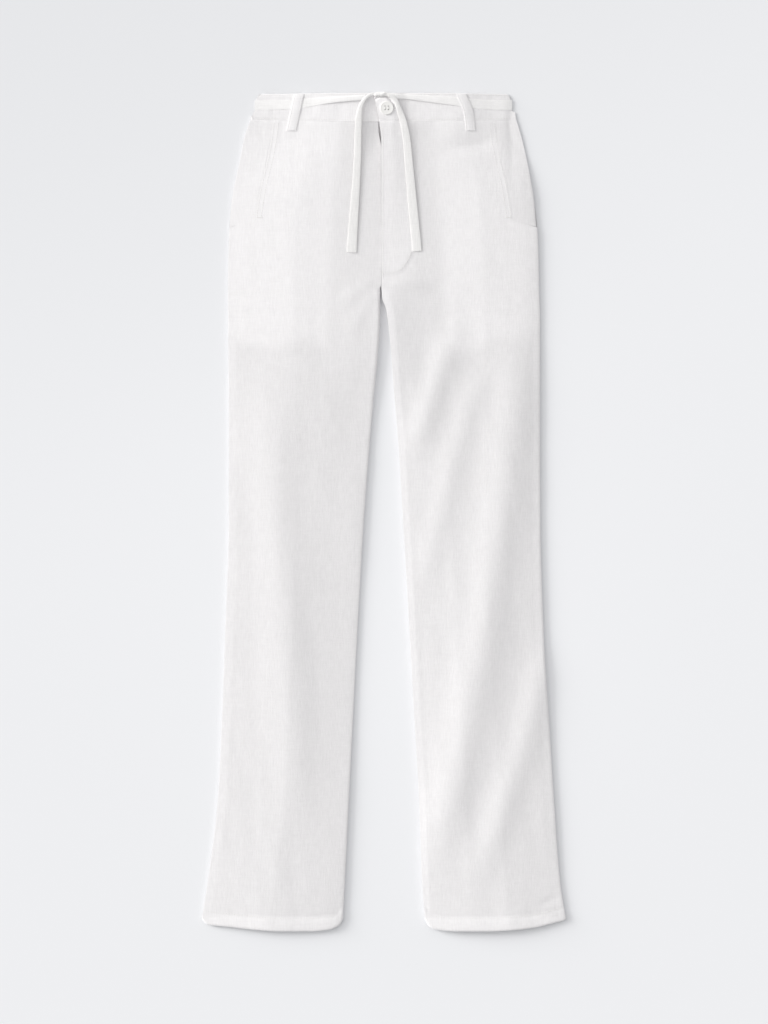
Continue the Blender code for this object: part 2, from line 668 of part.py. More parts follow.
# Free ends of the tie: the middle of the tape from the knot down, its width, and how far its
# underside lies above what it passes over
TIE_END_LEFT = table(
    "x y width lift",
    (5.2, 529.6, 5.5, 2.6), (10.0, 529.4, 6.5, 2.6), (14.0, 524.0, 7.4, 2.4), (17.2, 516.5, 7.8, 2.2),
    (20.6, 508.0, 8.6, 1.2), (24.0, 497.0, 9.2, 0.8), (27.0, 483.0, 9.8, 0.7), (29.4, 466.0, 10.3, 0.6),
    (31.2, 446.0, 10.8, 0.5), (33.2, 424.0, 11.0, 0.5), (35.2, 402.0, 11.2, 0.5), (37.4, 380.0, 11.5, 0.5),
    (39.6, 358.0, 11.7, 0.5), (41.2, 341.0, 11.9, 0.5), (41.9, 331.5, 12.0, 0.5),
)
TIE_END_RIGHT = table(
    "x y width lift",
    (-11.8, 532.4, 6.0, 4.6), (-15.6, 532.8, 7.0, 4.4), (-20.0, 530.2, 8.0, 4.0), (-24.0, 524.5, 8.5, 2.8),
    (-26.8, 516.0, 8.8, 1.2), (-28.8, 505.0, 8.8, 0.8), (-30.3, 492.0, 8.8, 0.7), (-31.6, 474.0, 8.8, 0.7),
    (-32.6, 458.0, 8.9, 0.6), (-33.8, 440.0, 9.2, 0.5), (-35.2, 418.0, 9.8, 0.5), (-36.8, 396.0, 10.6, 0.5),
    (-38.4, 374.0, 11.4, 0.5), (-39.8, 353.0, 12.1, 0.5), (-40.7, 338.0, 12.7, 0.5), (-41.1, 330.0, 12.9, 0.5),
)


def resting_height(side, x, y):
    """What the free ends lie on: the waistband above its seam, and the front below it."""
    on_front = front_face(side, x, y)
    return np.where(y > WAIST_SEAM - 6, np.maximum(band_top(side, x), on_front), on_front)


def make_tie_ends(tape):
    for side, route in ((LEFT, TIE_END_LEFT), (RIGHT, TIE_END_RIGHT)):
        way_x, way_y = np.gradient(route["x"]), np.gradient(route["y"])
        size = np.hypot(way_x, way_y)
        grid = []
        for share in (-0.5, 0.0, 0.5):
            x = route["x"] - share * route["width"] * way_y / size
            y = route["y"] + share * route["width"] * way_x / size
            grid.append(np.stack((x, y, resting_height(side, x, y) + route["lift"] + TAPE), axis=1))
        points, faces = wall(np.array(grid), TAPE, (0, 0, 1))
        new_object("tie_end_" + side_name(side), points, faces, tape)


# Button: rim, dish and four holes
BUTTON_CENTRE = (3.4, 513.0)
BUTTON_RADIUS = 9.0
BUTTON_THICKNESS = 3.0
BUTTON_HOLE_RADIUS = 1.0
BUTTON_HOLE_SPACING = 4.2
BUTTON_PROFILE = table(
    "out up",
    (0.55, 0.00), (0.90, 0.10), (1.00, 0.45), (0.97, 0.85), (0.88, 1.00), (0.78, 0.92), (0.66, 0.66), (0.00, 0.62),
)
BUTTON_SEGMENTS = 28


def make_button(shell):
    low = float(band_top(LEFT, np.array(0.0))) + GAP
    points = [np.array((0, 0, 0.0))]
    for out, up in zip(BUTTON_PROFILE["out"][:-1], BUTTON_PROFILE["up"][:-1]):
        for s in range(BUTTON_SEGMENTS):
            angle = 2 * pi * s / BUTTON_SEGMENTS
            radius = BUTTON_RADIUS * out
            points.append(np.array((radius * cos(angle), radius * sin(angle), BUTTON_THICKNESS * up)))
    points.append(np.array((0, 0, BUTTON_THICKNESS * BUTTON_PROFILE["up"][-1])))
    faces = []
    rings = len(BUTTON_PROFILE["out"]) - 1
    for s in range(BUTTON_SEGMENTS):
        n = (s + 1) % BUTTON_SEGMENTS
        faces.append((0, 1 + n, 1 + s))
        for ring in range(rings - 1):
            a = 1 + ring * BUTTON_SEGMENTS
            b = a + BUTTON_SEGMENTS
            faces.append((a + s, a + n, b + n, b + s))
        a = 1 + (rings - 1) * BUTTON_SEGMENTS
        faces.append((a + s, a + n, len(points) - 1))
    place = np.array((BUTTON_CENTRE[0], BUTTON_CENTRE[1], low))
    button = new_object("button", np.array(points) + place, faces, shell, sharp=35)
    for hole_x in (-0.5, 0.5):
        for hole_y in (-0.5, 0.5):
            x = BUTTON_CENTRE[0] + hole_x * BUTTON_HOLE_SPACING
            y = BUTTON_CENTRE[1] + hole_y * BUTTON_HOLE_SPACING
            drill(button, x, y, low)


def drill(button, x, y, low):
    """Cut one sewing hole through the button."""
    bpy.ops.mesh.primitive_cylinder_add(
        vertices=10, radius=BUTTON_HOLE_RADIUS * MM, depth=4 * BUTTON_THICKNESS * MM,
        location=(x * MM, y * MM, low * MM),
    )
    cutter = bpy.context.object
    cutter.name = "hole_cutter"
    cutter.hide_render = True
    cutter.hide_viewport = False
    cutter.display_type = "WIRE"
    cut = button.modifiers.new("hole", "BOOLEAN")
    cut.operation = "DIFFERENCE"
    cut.object = cutter


def clear_scene():
    for obj in list(bpy.data.objects):
        bpy.data.objects.remove(obj, do_unlink=True)


def main():
    clear_scene()
    linen = finish("off_white_linen", (0.86, 0.85, 0.83), 0.85)
    tape = finish("white_cotton_tape", (0.88, 0.87, 0.85), 0.8)
    shell = finish("off_white_button", (0.90, 0.89, 0.85), 0.3)
    make_fronts(linen)
    make_backs(linen)
    make_pocket_facings(linen)
    make_waistband(linen)
    make_fly_underlap(linen)
    make_belt_loops(linen)
    make_tie_waist(tape)
    make_knot(tape)
    make_tie_ends(tape)
    make_button(shell)


main()
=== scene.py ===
"""Looks of the chinos that lie flat: their cloth, sewing, tie and button, the light and the camera.

+X is the wearer's left, +Y points to the waist and +Z up. Sizes and tables are in millimetres,
and new_object() turns points into metres. Each shell of cloth follows the solid that it stands
for, from the same sizes, with its finer form added.
"""

import json
from math import cos, pi, radians, sin

import bpy
import numpy as np
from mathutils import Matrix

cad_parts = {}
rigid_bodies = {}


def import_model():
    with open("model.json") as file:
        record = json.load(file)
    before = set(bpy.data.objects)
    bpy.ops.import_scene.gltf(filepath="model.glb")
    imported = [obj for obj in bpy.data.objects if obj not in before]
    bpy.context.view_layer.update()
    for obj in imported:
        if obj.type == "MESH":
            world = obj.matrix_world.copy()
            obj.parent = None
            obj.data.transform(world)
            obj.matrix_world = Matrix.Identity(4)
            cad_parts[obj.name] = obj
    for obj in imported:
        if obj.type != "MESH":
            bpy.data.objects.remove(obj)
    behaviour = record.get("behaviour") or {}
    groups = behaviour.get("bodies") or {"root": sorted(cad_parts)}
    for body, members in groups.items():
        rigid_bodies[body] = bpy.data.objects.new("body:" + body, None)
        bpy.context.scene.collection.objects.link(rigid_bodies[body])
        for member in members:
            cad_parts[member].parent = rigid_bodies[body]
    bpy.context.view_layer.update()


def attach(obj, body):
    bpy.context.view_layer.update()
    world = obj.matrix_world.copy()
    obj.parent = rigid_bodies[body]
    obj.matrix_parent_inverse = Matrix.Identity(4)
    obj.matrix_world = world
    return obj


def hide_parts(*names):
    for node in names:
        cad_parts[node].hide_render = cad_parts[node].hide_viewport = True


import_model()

MM = 0.001
LEFT, RIGHT = 1, -1  # the wearer's sides, as the sign of X
SIDES = {LEFT: "left", RIGHT: "right"}

# The photograph's frame: its scale, the pixel that lies at the middle of the object, the lens
PHOTO_SCALE = 1.27  # millimetres to a pixel
PHOTO_SIZE = (768, 1024)
PHOTO_MIDDLE = (384, 512.5)
LENS, SENSOR = 180, 36

# Thicknesses of the cloth, and the gap between two pieces
GAP = 0.3
LINEN = 0.5  # a panel's cloth as it shows at an edge
HEM_CLOTH = 1  # doubled at the hem
BAND, BAND_AT_SIDE = 1.6, 0.4
TAPE, TAPE_AT_SIDE = 1, 0.38  # pulled tight round the sides
STRAND = 0.75  # the tie's free ends
EVENED = 9  # points of theirs whose heights are averaged
LOOP = 0.65
SOLID_LINEN = 1.1  # the walls of the solids

# Heights of the layers at the waist. Out to the sides they come down
LOOP_SEAT = 1.5
BAND_LOW = LOOP_SEAT + TAPE + GAP
BAND_HIGH = 8
SINK_FROM, SINK_TO = 84, 158
HIGH_SINK_LEFT, HIGH_SINK_RIGHT = 5.2, 4.6
RIGHT_SINK_FROM = 30  # the upper layers of the right half come down sooner
LOW_SINK = LOOP_SEAT
SIDE_PRESS, SIDE_PRESS_FROM = 0.85, 126  # the waistband's back comes down a little more,
SIDE_PINCH, SIDE_PINCH_RUN = 0.9, 15  # and so does its front, pressed flat at the left end
END_DROP, END_DROP_RUN = 0.7, 8
LIT_LEAN, LIT_LEAN_TO = 12, 3.4  # the right end leans in under, up to this height
FRONT_SINK_FROM = 400  # the Y from which the fronts come down with them

# Main places along the body
WAIST_SEAM = 496
WAIST_SEAM_RISE = 3
WAIST_HALF = 167
WAIST_TOP = 532.3
WAIST_TOP_DROP = 1.5
CENTRE = -3.6
CROTCH = 287.7
CUFF = -515
EDGE_RADIUS = 0.5  # the cloth turns sharply at a seam
LIT_ROLL = 0.22  # how deep the front turns down at the edges towards the light
UNDERCUT = 12  # and how far in from them the back comes to rest
CENTRE_GAP = 0.06  # half the gap at the centre seam
MOUTH_BLEND = 90  # a row that starts at a pocket's mouth is squeezed up to here


def table(columns, *rows):
    """Rows of numbers as one array for each named column."""
    return dict(zip(columns.split(), np.array(rows, float).T))


OUTLINE = table(
    "y left_side left_inner right_inner right_side",
    (497, 167.6, CENTRE, CENTRE, -168.9),
    (473, 175.3, CENTRE, CENTRE, -177.8),
    (447, 181.6, CENTRE, CENTRE, -182.9),
    (397, 190.5, CENTRE, CENTRE, -193),
    (346, 195.6, CENTRE, CENTRE, -196.8),
    (CROTCH, 197, CENTRE + 0.1, CENTRE - 0.1, -198.1),
    (284, 197.1, -3.2, -4.6, -198.1),
    (270, 197.4, -2, -5, -198),
    (263.5, 197.6, 1, -5.1, -198),
    (257, 197.8, 3, -5.1, -197.9),
    (247, 198, 4.4, -5.2, -197.9),
    (225, 198.1, 7, -6.1, -197.7),
    (206, 198.1, 8.8, -7.4, -197.5),
    (187, 198.1, 10.1, -8.8, -197.4),
    (168, 198.1, 11.3, -10.9, -197.3),
    (92, 198.1, 17.8, -17.8, -196.9),
    (-10, 198.6, 24.1, -25.4, -197),
    (-162, 203.2, 33, -34.3, -201.9),
    (-264, 209.6, 38.7, -39.4, -205.7),
    (-365, 215.9, 44.5, -44.5, -211),
    (-467, 223.5, 48.3, -49.5, -223.5),
    (-515, 231.1, 52.1, -52.1, -231.1),
)
LEVELS = table(
    "y front seam",
    (497, 7.85, 3),
    (470, 7.6, 2.8),
    (447, 7.6, 2.3),
    (420, 7.5, 1.95),
    (350, 7.4, 1.75),
    (100, 7.3, 1.7),
    (-200, 7.2, 1.7),
    (-480, 7.3, 1.8),
    (-532, 7.3, 1.8),
)
# How much lower a front lies at its edges: the depth, how far in that reaches, and how much of it
# is a straight slope, where the rest is an S. The inseams' is full up to one Y and ends at another
SIDE_FALL = {LEFT: (3.3, 70, 0.85), RIGHT: (4.2, 84, 0.9)}
INSEAM_FALL = {LEFT: (2.7, 60, 0.9), RIGHT: (3, 110, 0.7)}
INSEAM_ENDS = {LEFT: (40, 190), RIGHT: (110, 250)}
SHADE_FALL, SHADE_FALL_RUN = 0.8, 18  # and a little more at the edges away from the light

HEM = table(
    "across left right",
    (0, -516, -515.5),
    (0.01, -517.5, -519),
    (0.04, -519, -523),
    (0.1, -521.5, -524.5),
    (0.2, -526, -526),
    (0.35, -529.5, -529),
    (0.55, -531.5, -531.5),
    (0.78, -531.5, -531.5),
    (0.9, -529.8, -529.5),
    (0.965, -526.5, -525),
    (0.99, -521, -520),
    (1, -517, -515.5),
)

# Creases of the fronts: a curve from start by mid to end, the half width of its soft
# cross-section and its height, above the cloth or, if negative, below it
FOLDS = table(
    "side start_x start_y mid_x mid_y end_x end_y half_width height",
    (LEFT, 173, 262, 134, -110, 49, -508, 26, 3.2),
    (LEFT, 212, -140, 176, -302, 104, -500, 20, 2.2),
    (LEFT, 92, 250, 65, 158, 35, 58, 17, 2.5),
    (LEFT, 130, 190, 88, 65, 42, -140, 16, 1.2),
    (LEFT, 0, 318, 7, 232, 22, 95, 30, 2.5),
    (LEFT, -6, 290, 30, 292, 70, 284, 11, 1.2),
    (LEFT, 58, 458, 110, 466, 146, 474, 9, -1.1),
    (LEFT, 194, -497, 208, -494, 224, -488, 4, -0.8),
    (RIGHT, -154, 210, -127, -110, -104, -430, 26, 2),
    (RIGHT, -4, 302, -32, 282, -66, 254, 9, 0.45),
    (RIGHT, -6, 286, -26, 256, -52, 212, 9, 0.4),
    (RIGHT, -8, 540, -8, 490, -10, 440, 14, -2.2),
)
FOLD_SAMPLES = 25
FOLD_FADE = 0.12
FOLD_FADE_WIDTHS = 2.5
LOWEST_FRONT = 2 * SOLID_LINEN + 2 * GAP
LOWEST_CLOTH = 1.5

POCKET_MOUTH = table(
    "y left right",
    (497, 141, -141),
    (475, 143.5, -143.5),
    (440, 150.2, -150.2),
    (416.5, 156, -156.2),
    (378.5, 162.4, -162.6),
)
POCKET_FOOT = 371.4
POCKET_FOOT_RUN = 9.4
FACING_DROP = 0.06
FACING_BACKING_AND_SHADE = {LEFT: 0.35, RIGHT: 1}  # how much of the doubled cloth's paleness shows; less on the left, away from the light, which paints shade on that facing
HEM_DEPTH = 16.5  # from the hem's edge up to its stitches
TUCK_DROP = 1.2  # the panels' tops dip below the waistband

FLY_WIDTH = 39.2
FLY_FOOT = 304.2
FLY_CORNER = 29
FLY_RAISE = 0.5
OVERLAP_RAISE = 2.2
OPENING_LEAN = 2.6
SLIT = table("y width", (495, 0.8), (489, 1.6), (482, 2.4), (476, 1.9), (466, 0))

TAB_STEP = (12, 30)  # where the tab comes down to the left half's level
TAB_END = table("share x", (0, -5.1), (0.30, -8), (0.60, -10.2), (0.85, -11.4), (1, -10.4))
BAND_ROWS = table(
    "share left right",
    (0, 167.3, -167.6),
    (0.27, 167, -166.6),
    (0.35, 162.2, -164.2),
    (0.8, 160.6, -162),
    (0.95, 158.6, -160),
    (1, 156.8, -158.6),
)
BAND_UNDERLAP = 8
STITCH_SHARES = (0.055, 0.945)  # across the waistband
TURN_STEPS = 11
BAND_TURN, TIE_TURN = 0.30, 0.35  # how far out the waistband and the tie bulge at the sides

# The pocket bags show through the fronts as a paler patch with a faint edge: where its outer side,
# its inner side and its foot lie, and how the foot rises outwards
POCKET_BAG = {LEFT: (186, 80, 213, 0.25), RIGHT: (-176, -72, 213, 0)}
BAG_SOFT = 11  # half the width of its soft edge, and of its softer foot
BAG_FOOT_SOFT = 13

# The hollow round the tab's upper right edge, below the knot: its course, depth and half width
KNOT_HOLLOW = table(
    "x y depth half_width",
    (-13, 521, 0.6, 1.2), (-8.9, 526, 2, 1.5), (-4.7, 527.6, 2.3, 1.6), (2.4, 527.4, 2.3, 1.5),
    (6.6, 524.6, 2, 1.2), (10.4, 519.8, 1.5, 1), (12.2, 514, 1.2, 0.9), (12.6, 509, 0.3, 0.8),
)

# The tie's free ends: the middle of the tape from the knot down, its width, and how far its
# underside lies above what it passes over
TIE_WIDTH = 12.5
TIE_END = {
    LEFT: table(
        "x y width lift",
        (5.2, 529, 4.6, 1.5), (10, 527.6, 5.2, 1.5), (14.4, 523.4, 5.8, 1.3), (17.6, 516, 6.4, 1),
        (20.4, 508, 7.8, 0.9), (24, 497, 8.6, 0.8), (27.2, 483, 9.2, 0.8), (29.6, 466, 9.8, 0.8),
        (31.2, 446, 10.4, 0.8), (33.2, 424, 10.9, 0.7), (35.2, 402, 11.2, 0.7), (37.4, 380, 11.5, 0.6),
        (39.6, 358, 11.7, 0.5), (41.2, 341, 11.9, 0.4), (41.9, 331.5, 12, 0.3),
    ),
    RIGHT: table(
        "x y width lift",
        (-10.5, 530.4, 4, 2.2), (-15, 530.6, 4, 2.2), (-20, 528.6, 4.2, 2.1), (-24.8, 523.6, 4.6, 1.9),
        (-29, 516, 5.8, 1.6), (-31.4, 506, 7.4, 1.7), (-32.4, 494, 8.4, 2), (-33, 476, 8.8, 2),
        (-33.4, 458, 9, 1.9), (-34.2, 440, 9.3, 1.7), (-35.4, 418, 9.8, 1.5), (-36.9, 396, 10.6, 1.2),
        (-38.4, 374, 11.4, 0.9), (-39.8, 353, 12.1, 0.7), (-40.7, 338, 12.7, 0.4), (-41.1, 330, 12.9, 0.3),
    ),
}
# Its run round the waist: the lower edge and the width along the front, and where it turns
TIE_RUN = {
    LEFT: table(
        "x low width",
        (14, 524.6, 6), (25, 524.4, 6), (46, 522, 7.5), (66, 519.4, 9),
        (86, 516.8, 10.5), (105, 514.2, 11.5), (130, 511.4, 12.3), (154, 511, 12.5),
    ),
    RIGHT: table(
        "x low width",
        (-24, 523.6, 6.5), (-35, 522.4, 6.5), (-56, 520.6, 7.5), (-76, 518.2, 9),
        (-96, 514.6, 11), (-115, 512.2, 12), (-135, 511.2, 12.4), (-154, 511, 12.5),
    ),
}
TIE_SIDE = {LEFT: 162.9, RIGHT: -164.3}
TIE_BACK_END = 75
TIE_BACK_LOW = 511
TIE_THINS = (66, 94)  # the run gets thinner and comes to lie closer between these
# The knot's turns: the way of the tape's width where it isn't level, its width and its depth where
# it is rolled, and points along it
KNOT_TURNS = (
    ("knot_over", None, 4.2, 1.3, (
        (-11, 530.2, 11), (-8, 531, 11.3), (-3.5, 531.2, 11.6), (1.5, 530.8, 11.7),
        (6, 529.6, 11.4), (9, 528.2, 11))),
    ("knot_under", None, 3.8, 1.2, (
        (15, 528, 10.8), (10, 529.6, 10.9), (4.5, 530, 10.7), (-2.5, 529.6, 10.6),
        (-8, 529.6, 10.5), (-12, 529.8, 10.4))),
    ("knot_wrap", (1, 0.2, 0), 5.4, 0.8, (
        (-0.6, 529, 10.9), (-0.8, 528.6, 11.5), (-1, 529.2, 12.2), (-1.2, 530.6, 12.6),
        (-1.6, 532, 12.3), (-1.8, 532.8, 11.6), (-1.8, 532.8, 10.9))),
)

# Belt loops: the face they lie on, 1 for the front, and X of their middle at the waistband's top,
# halfway down and at the foot below the seam
LOOPS = {
    "belt_loop_front_left": (1, 97.8, 107.2, 110),
    "belt_loop_front_right": (1, -107.8, -112.8, -117.8),
    "belt_loop_back_left": (-1, 92, 92, 92),
    "belt_loop_back_centre": (-1, -3.6, -3.6, -3.6),
    "belt_loop_back_right": (-1, -99, -99, -99),
}
LOOP_WIDTH = 12.5
LOOP_TOP = 531
LOOP_FOOT = 484.6
LOOP_ARC = table(
    "along rise",
    (0, 0.25), (0.05, 0.75), (0.09, 1.05), (0.2, 1.05), (0.34, 1.05),
    (0.46, 1), (0.58, 0.45), (0.7, 0), (0.9, 0.05), (1, 0.2),
)

# Button: its rim and dish from the middle of the underside to that of the top, and its four holes
BUTTON_CENTRE = (3.5, 513)
BUTTON_RADIUS = 8.6
BUTTON_DEPTH = 1.5
BUTTON_SEGMENTS = 72
HOLE_RADIUS = 1
HOLE_SPACING = 4.2
BUTTON_PROFILE = table(
    "out up",
    (0.55, 0), (0.93, 0.06), (0.985, 0.24), (1, 0.5), (0.995, 0.78), (0.975, 0.92), (0.945, 0.99),
    (0.9, 1), (0.85, 0.99), (0.8, 0.965), (0.74, 0.935), (0.66, 0.915), (0.5, 0.9),
)

STITCH_RADIUS = 0.22
STITCH_SIDES = 6

# Light: a low key from the left with a softer, higher one beside it, and an even fill. The shares
# are of the light on the floor
LIGHTS = table("azimuth elevation width share", (158, 14, 27, 0.24), (158, 34, 54, 0.13))
FLOOR_HALF = 12  # metres
FLOOR_HEIGHT = -0.0002


# Reading the tables

def smooth(at, stations, values):
    """A monotone cubic through the stations, held level beyond both ends."""
    order = np.argsort(stations)
    station, value = np.asarray(stations)[order], np.asarray(values)[order]
    step = np.diff(station)
    slope = np.diff(value) / step
    before, after = slope[:-1], slope[1:]
    turning = before * after <= 0
    total = np.where(turning, 1, before + after)
    inner = np.where(turning, 0, 2 * before * after / total)
    tangent = np.concatenate(([slope[0]], inner, [slope[-1]]))
    at = np.clip(at, station[0], station[-1])
    i = np.clip(np.searchsorted(station, at) - 1, 0, len(step) - 1)
    t = (at - station[i]) / step[i]
    rise = value[i] * (2 * t**3 - 3 * t**2 + 1) + value[i + 1] * (3 * t**2 - 2 * t**3)
    return rise + step[i] * (tangent[i] * (t**3 - 2 * t**2 + t) + tangent[i + 1] * (t**3 - t**2))


def read(rows, column, at):
    """A column of a table, at a place in its first column."""
    return smooth(at, next(iter(rows.values())), rows[column])


def ramp(value, start, end):
    """0 up to start and 1 from end, with a soft step between them."""
    t = np.clip((value - start) / (end - start), 0, 1)
    return t * t * (3 - 2 * t)


def bump(value, middle, half_width):
    return np.exp(-((value - middle) / half_width)**2)


def rolled(distance, radius=EDGE_RADIUS):
    """Height of a round edge: 0 at the edge and 1 from the radius on."""
    short = 1 - np.clip(distance / radius, 0, 1)
    return np.sqrt(1 - short**2)


def wavy(x, y, size_x, size_y, seed):
    """Soft noise from -1 to 1 whose waves are about size_x by size_y."""
    lattice = np.random.RandomState(seed).uniform(-1, 1, (128, 128))
    u, v = x / size_x + 40, y / size_y + 40
    i, j = np.floor(u).astype(int), np.floor(v).astype(int)
    s, t = u - i, v - j
    s, t = s * s * (3 - 2 * s), t * t * (3 - 2 * t)
    corner = [lattice[(i + a) % 128, (j + b) % 128] for a in (0, 1) for b in (0, 1)]
    return (corner[0] * (1 - s) + corner[2] * s) * (1 - t) + (corner[1] * (1 - s) + corner[3] * s) * t


# The form of the garment

def seams(side, y):
    """X of the side seam and of the inseam, or the centre above the crotch."""
    return read(OUTLINE, SIDES[side] + "_side", y), read(OUTLINE, SIDES[side] + "_inner", y)


def waist_seam(x):
    return WAIST_SEAM + WAIST_SEAM_RISE * (x / WAIST_HALF)**2


def waist_bend(x, y):
    """How far a panel's row at y bends up or down to follow the waist seam."""
    return ramp(y, WAIST_SEAM - 40, WAIST_SEAM) * (waist_seam(x) - GAP - WAIST_SEAM)


def band_y(x, share):
    """Y in the waistband, from its seam at share 0 to its top at share 1."""
    low = waist_seam(x)
    return low + (WAIST_TOP - WAIST_TOP_DROP * (x / WAIST_HALF)**2 - low) * share


def hem_edge(side, x):
    """Y of the hem's edge at a place across the leg."""
    outer, inner = seams(side, CUFF)
    return read(HEM, SIDES[side], np.clip((x - outer) / (inner - outer), 0, 1))


def crease(fold, x, y):
    """Height that one fold adds at a place. Its curve is a parabola; X and Y go as complex numbers."""
    start, middle, end = (fold[part + "_x"] + 1j * fold[part + "_y"] for part in ("start", "mid", "end"))
    t = np.linspace(0, 1, FOLD_SAMPLES)
    curve = (1 - t)**2 * start + 2 * t * (1 - t) * (2 * middle - (start + end) / 2) + t**2 * end
    place = x + 1j * y
    nearest = np.full(np.shape(place), np.inf)
    along = np.zeros(np.shape(place))
    for k, step in enumerate(np.diff(curve)):
        share = np.clip(((place - curve[k]) / step).real, 0, 1)
        away = np.abs(place - curve[k] - share * step)
        along = np.where(away < nearest, (k + share) / (FOLD_SAMPLES - 1), along)
        nearest = np.minimum(nearest, away)
    fade = FOLD_FADE + FOLD_FADE_WIDTHS * fold["half_width"] / np.abs(np.diff(curve)).sum()
    strength = fold["height"] * ramp(along, 0, fade) * ramp(1 - along, 0, fade)
    return strength * bump(nearest, 0, fold["half_width"])


def fly_height(x, y):
    """Height that the fly's doubled cloth and its overlap add to the left front."""
    share = np.clip((x - CENTRE) / FLY_WIDTH, 0, 1)
    foot = FLY_FOOT + FLY_CORNER * share**4
    inside = 1 - ramp(x - CENTRE, FLY_WIDTH - 1, FLY_WIDTH + 7)
    near_edge = 1 - ramp(x, 12, 40)
    near_waist = ramp(y, 330, 490)
    return FLY_RAISE * inside * ramp(y, foot - 5, foot) + OVERLAP_RAISE * near_edge * near_waist


def front_top(side, x, y):
    """Upper face of a front with its folds and fly, before its edges come down."""
    height = read(LEVELS, "front", y)
    for i in np.flatnonzero(FOLDS["side"] == side):
        height = height + crease({name: column[i] for name, column in FOLDS.items()}, x, y)
    if side == LEFT:
        height = height + fly_height(x, y)
    return np.maximum(height, LOWEST_FRONT)


def pocket_bag(side, x, y):
    """1 where a pocket bag lies below the front, and 0 elsewhere."""
    outer, inner, foot, rise = POCKET_BAG[side]
    inner_edge = side * inner - 0.06 * (y - foot)
    wavy_y = y + 5 * np.sin(x / 13) - rise * (side * x - 130)
    inside = ramp(side * x, inner_edge - BAG_SOFT, inner_edge + BAG_SOFT)
    return inside * ramp(wavy_y, foot - BAG_FOOT_SOFT, foot + BAG_FOOT_SOFT)


def rumples(side, x, y):
    """The small unevenness of washed linen, stronger low on the legs."""
    x = x + 300 * side
    calm = 0.35 + 0.65 * (1 - ramp(y, 150, 400))
    slow = 0.5 * wavy(x, y, 42, 120, 11)
    middle = 0.17 * wavy(x + 0.2 * y, y, 17, 46, 12)
    return calm * (slow + middle) + 0.05 * wavy(x, y, 6, 13, 13)


def sewn_lines(side, x, y, from_inner):
    """Ridge of the inseam, groove and puckers above the hem, and gathers at the waistband."""
    legs = 1 - ramp(y, CROTCH - 40, CROTCH)
    pucker = 0.5 + 0.5 * np.sin(y * 2 * pi / 8.3 + 1.7 * np.sin(y / 31))
    inseam = legs * (0.15 * bump(from_inner, 7.5, 3.5) - 0.1 * pucker * bump(from_inner, 3.5, 2.5))
    to_hem = y - hem_edge(side, x)
    along = np.sin(x * 2 * pi / 7.1 + 1.3 * np.sin(x / 19))
    hem = -0.3 * bump(to_hem, HEM_DEPTH, 1.8) + 0.08 * along * bump(to_hem, HEM_DEPTH, 5)
    hem = hem + 0.4 * (1 - ramp(to_hem, HEM_DEPTH - 3, HEM_DEPTH)) - 0.8 * (1 - ramp(to_hem, 0, 1.5))
    from_band = waist_seam(x) - GAP - y
    strength = 0.12 + 0.6 * bump(x, 14, 18) * (side == LEFT)
    fade = np.exp(-np.clip(from_band, 0, None) / 22)
    gathers = strength * wavy(x + 90 * side, y * 0, 5, 1, 21) * fade
    tuck = -TUCK_DROP * (1 - ramp(from_band, -1.6, 0.3)) - 0.05 * (1 - ramp(from_band, 0, 3))
    return inseam + hem + gathers + tuck


def sink(x):
    """How far the layers at the waist have come down: 0 at the front, 1 at the sides."""
    return ramp(np.abs(x), SINK_FROM, SINK_TO)


def high_sink(x):
    """How far down the upper ones are, in millimetres."""
    return HIGH_SINK_LEFT * ramp(x, SINK_FROM, SINK_TO) + HIGH_SINK_RIGHT * ramp(-x, RIGHT_SINK_FROM, SINK_TO)


def pinch(x):
    """How much more it comes down at the waist's left end."""
    end = WAIST_HALF - 4
    return SIDE_PINCH * ramp(x, end - SIDE_PINCH_RUN, end) + END_DROP * ramp(x, end - END_DROP_RUN, end)


def edge_fall(fall, distance):
    depth, reach, straight = fall
    share = np.clip(distance / reach, 0, 1)
    return depth * (straight * (1 - share) + (1 - straight) * (1 - ramp(share, 0, 1)))


def by_light(side, edges):
    """The distances from the panel's edge towards the light and from the one away from it."""
    return edges[::-side]


def legs_apart(y):
    return 1 - ramp(y, CROTCH - 8, CROTCH + 1)


def front_upper(side, x, y, edges):
    """Upper face of a front, without the turns at its edges."""
    below_band = 1 - ramp(y, FRONT_SINK_FROM, WAIST_SEAM)
    fall = below_band * edge_fall(SIDE_FALL[side], edges[0]) + (1 - below_band) * (high_sink(x) + pinch(x))
    inseam = 1 - ramp(y, *INSEAM_ENDS[side])
    top = front_top(side, x, y) - fall - inseam * edge_fall(INSEAM_FALL[side], edges[1])
    shaded = 1 if side == LEFT else inseam
    top = top - shaded * SHADE_FALL * (1 - by_light(side, edges)[1] / SHADE_FALL_RUN).clip(0, 1)**2
    quiet = 1 - 0.7 * ramp(y, 440, 485)
    top = top + quiet * rumples(side, x, y) + 0.1 * pocket_bag(side, x, y) + sewn_lines(side, x, y, edges[1])
    return np.maximum(top, LOWEST_CLOTH)


def edge_rise(y, edges):
    return rolled(edges[0]) * (1 - legs_apart(y) * (1 - rolled(edges[1])))


def seam_level(side, y, edges, top):
    """Height of the seams: low at the shaded edges, just below the front at the others."""
    low = np.minimum(read(LEVELS, "seam", y), top - LIT_ROLL)
    return np.where(by_light(side, edges)[0] < 5, np.maximum(low, top - LIT_ROLL), low)


def front_face(side, x, y, edges=None):
    """Upper face of a front, turned down at the side seam and the inseam."""
    outer, inner = seams(side, y)
    edges = edges or (side * (outer - x), side * (x - inner))
    top = front_upper(side, x, y, edges)
    seam = seam_level(side, y, edges, top) + GAP / 2
    return seam + (top - seam) * edge_rise(y, edges)


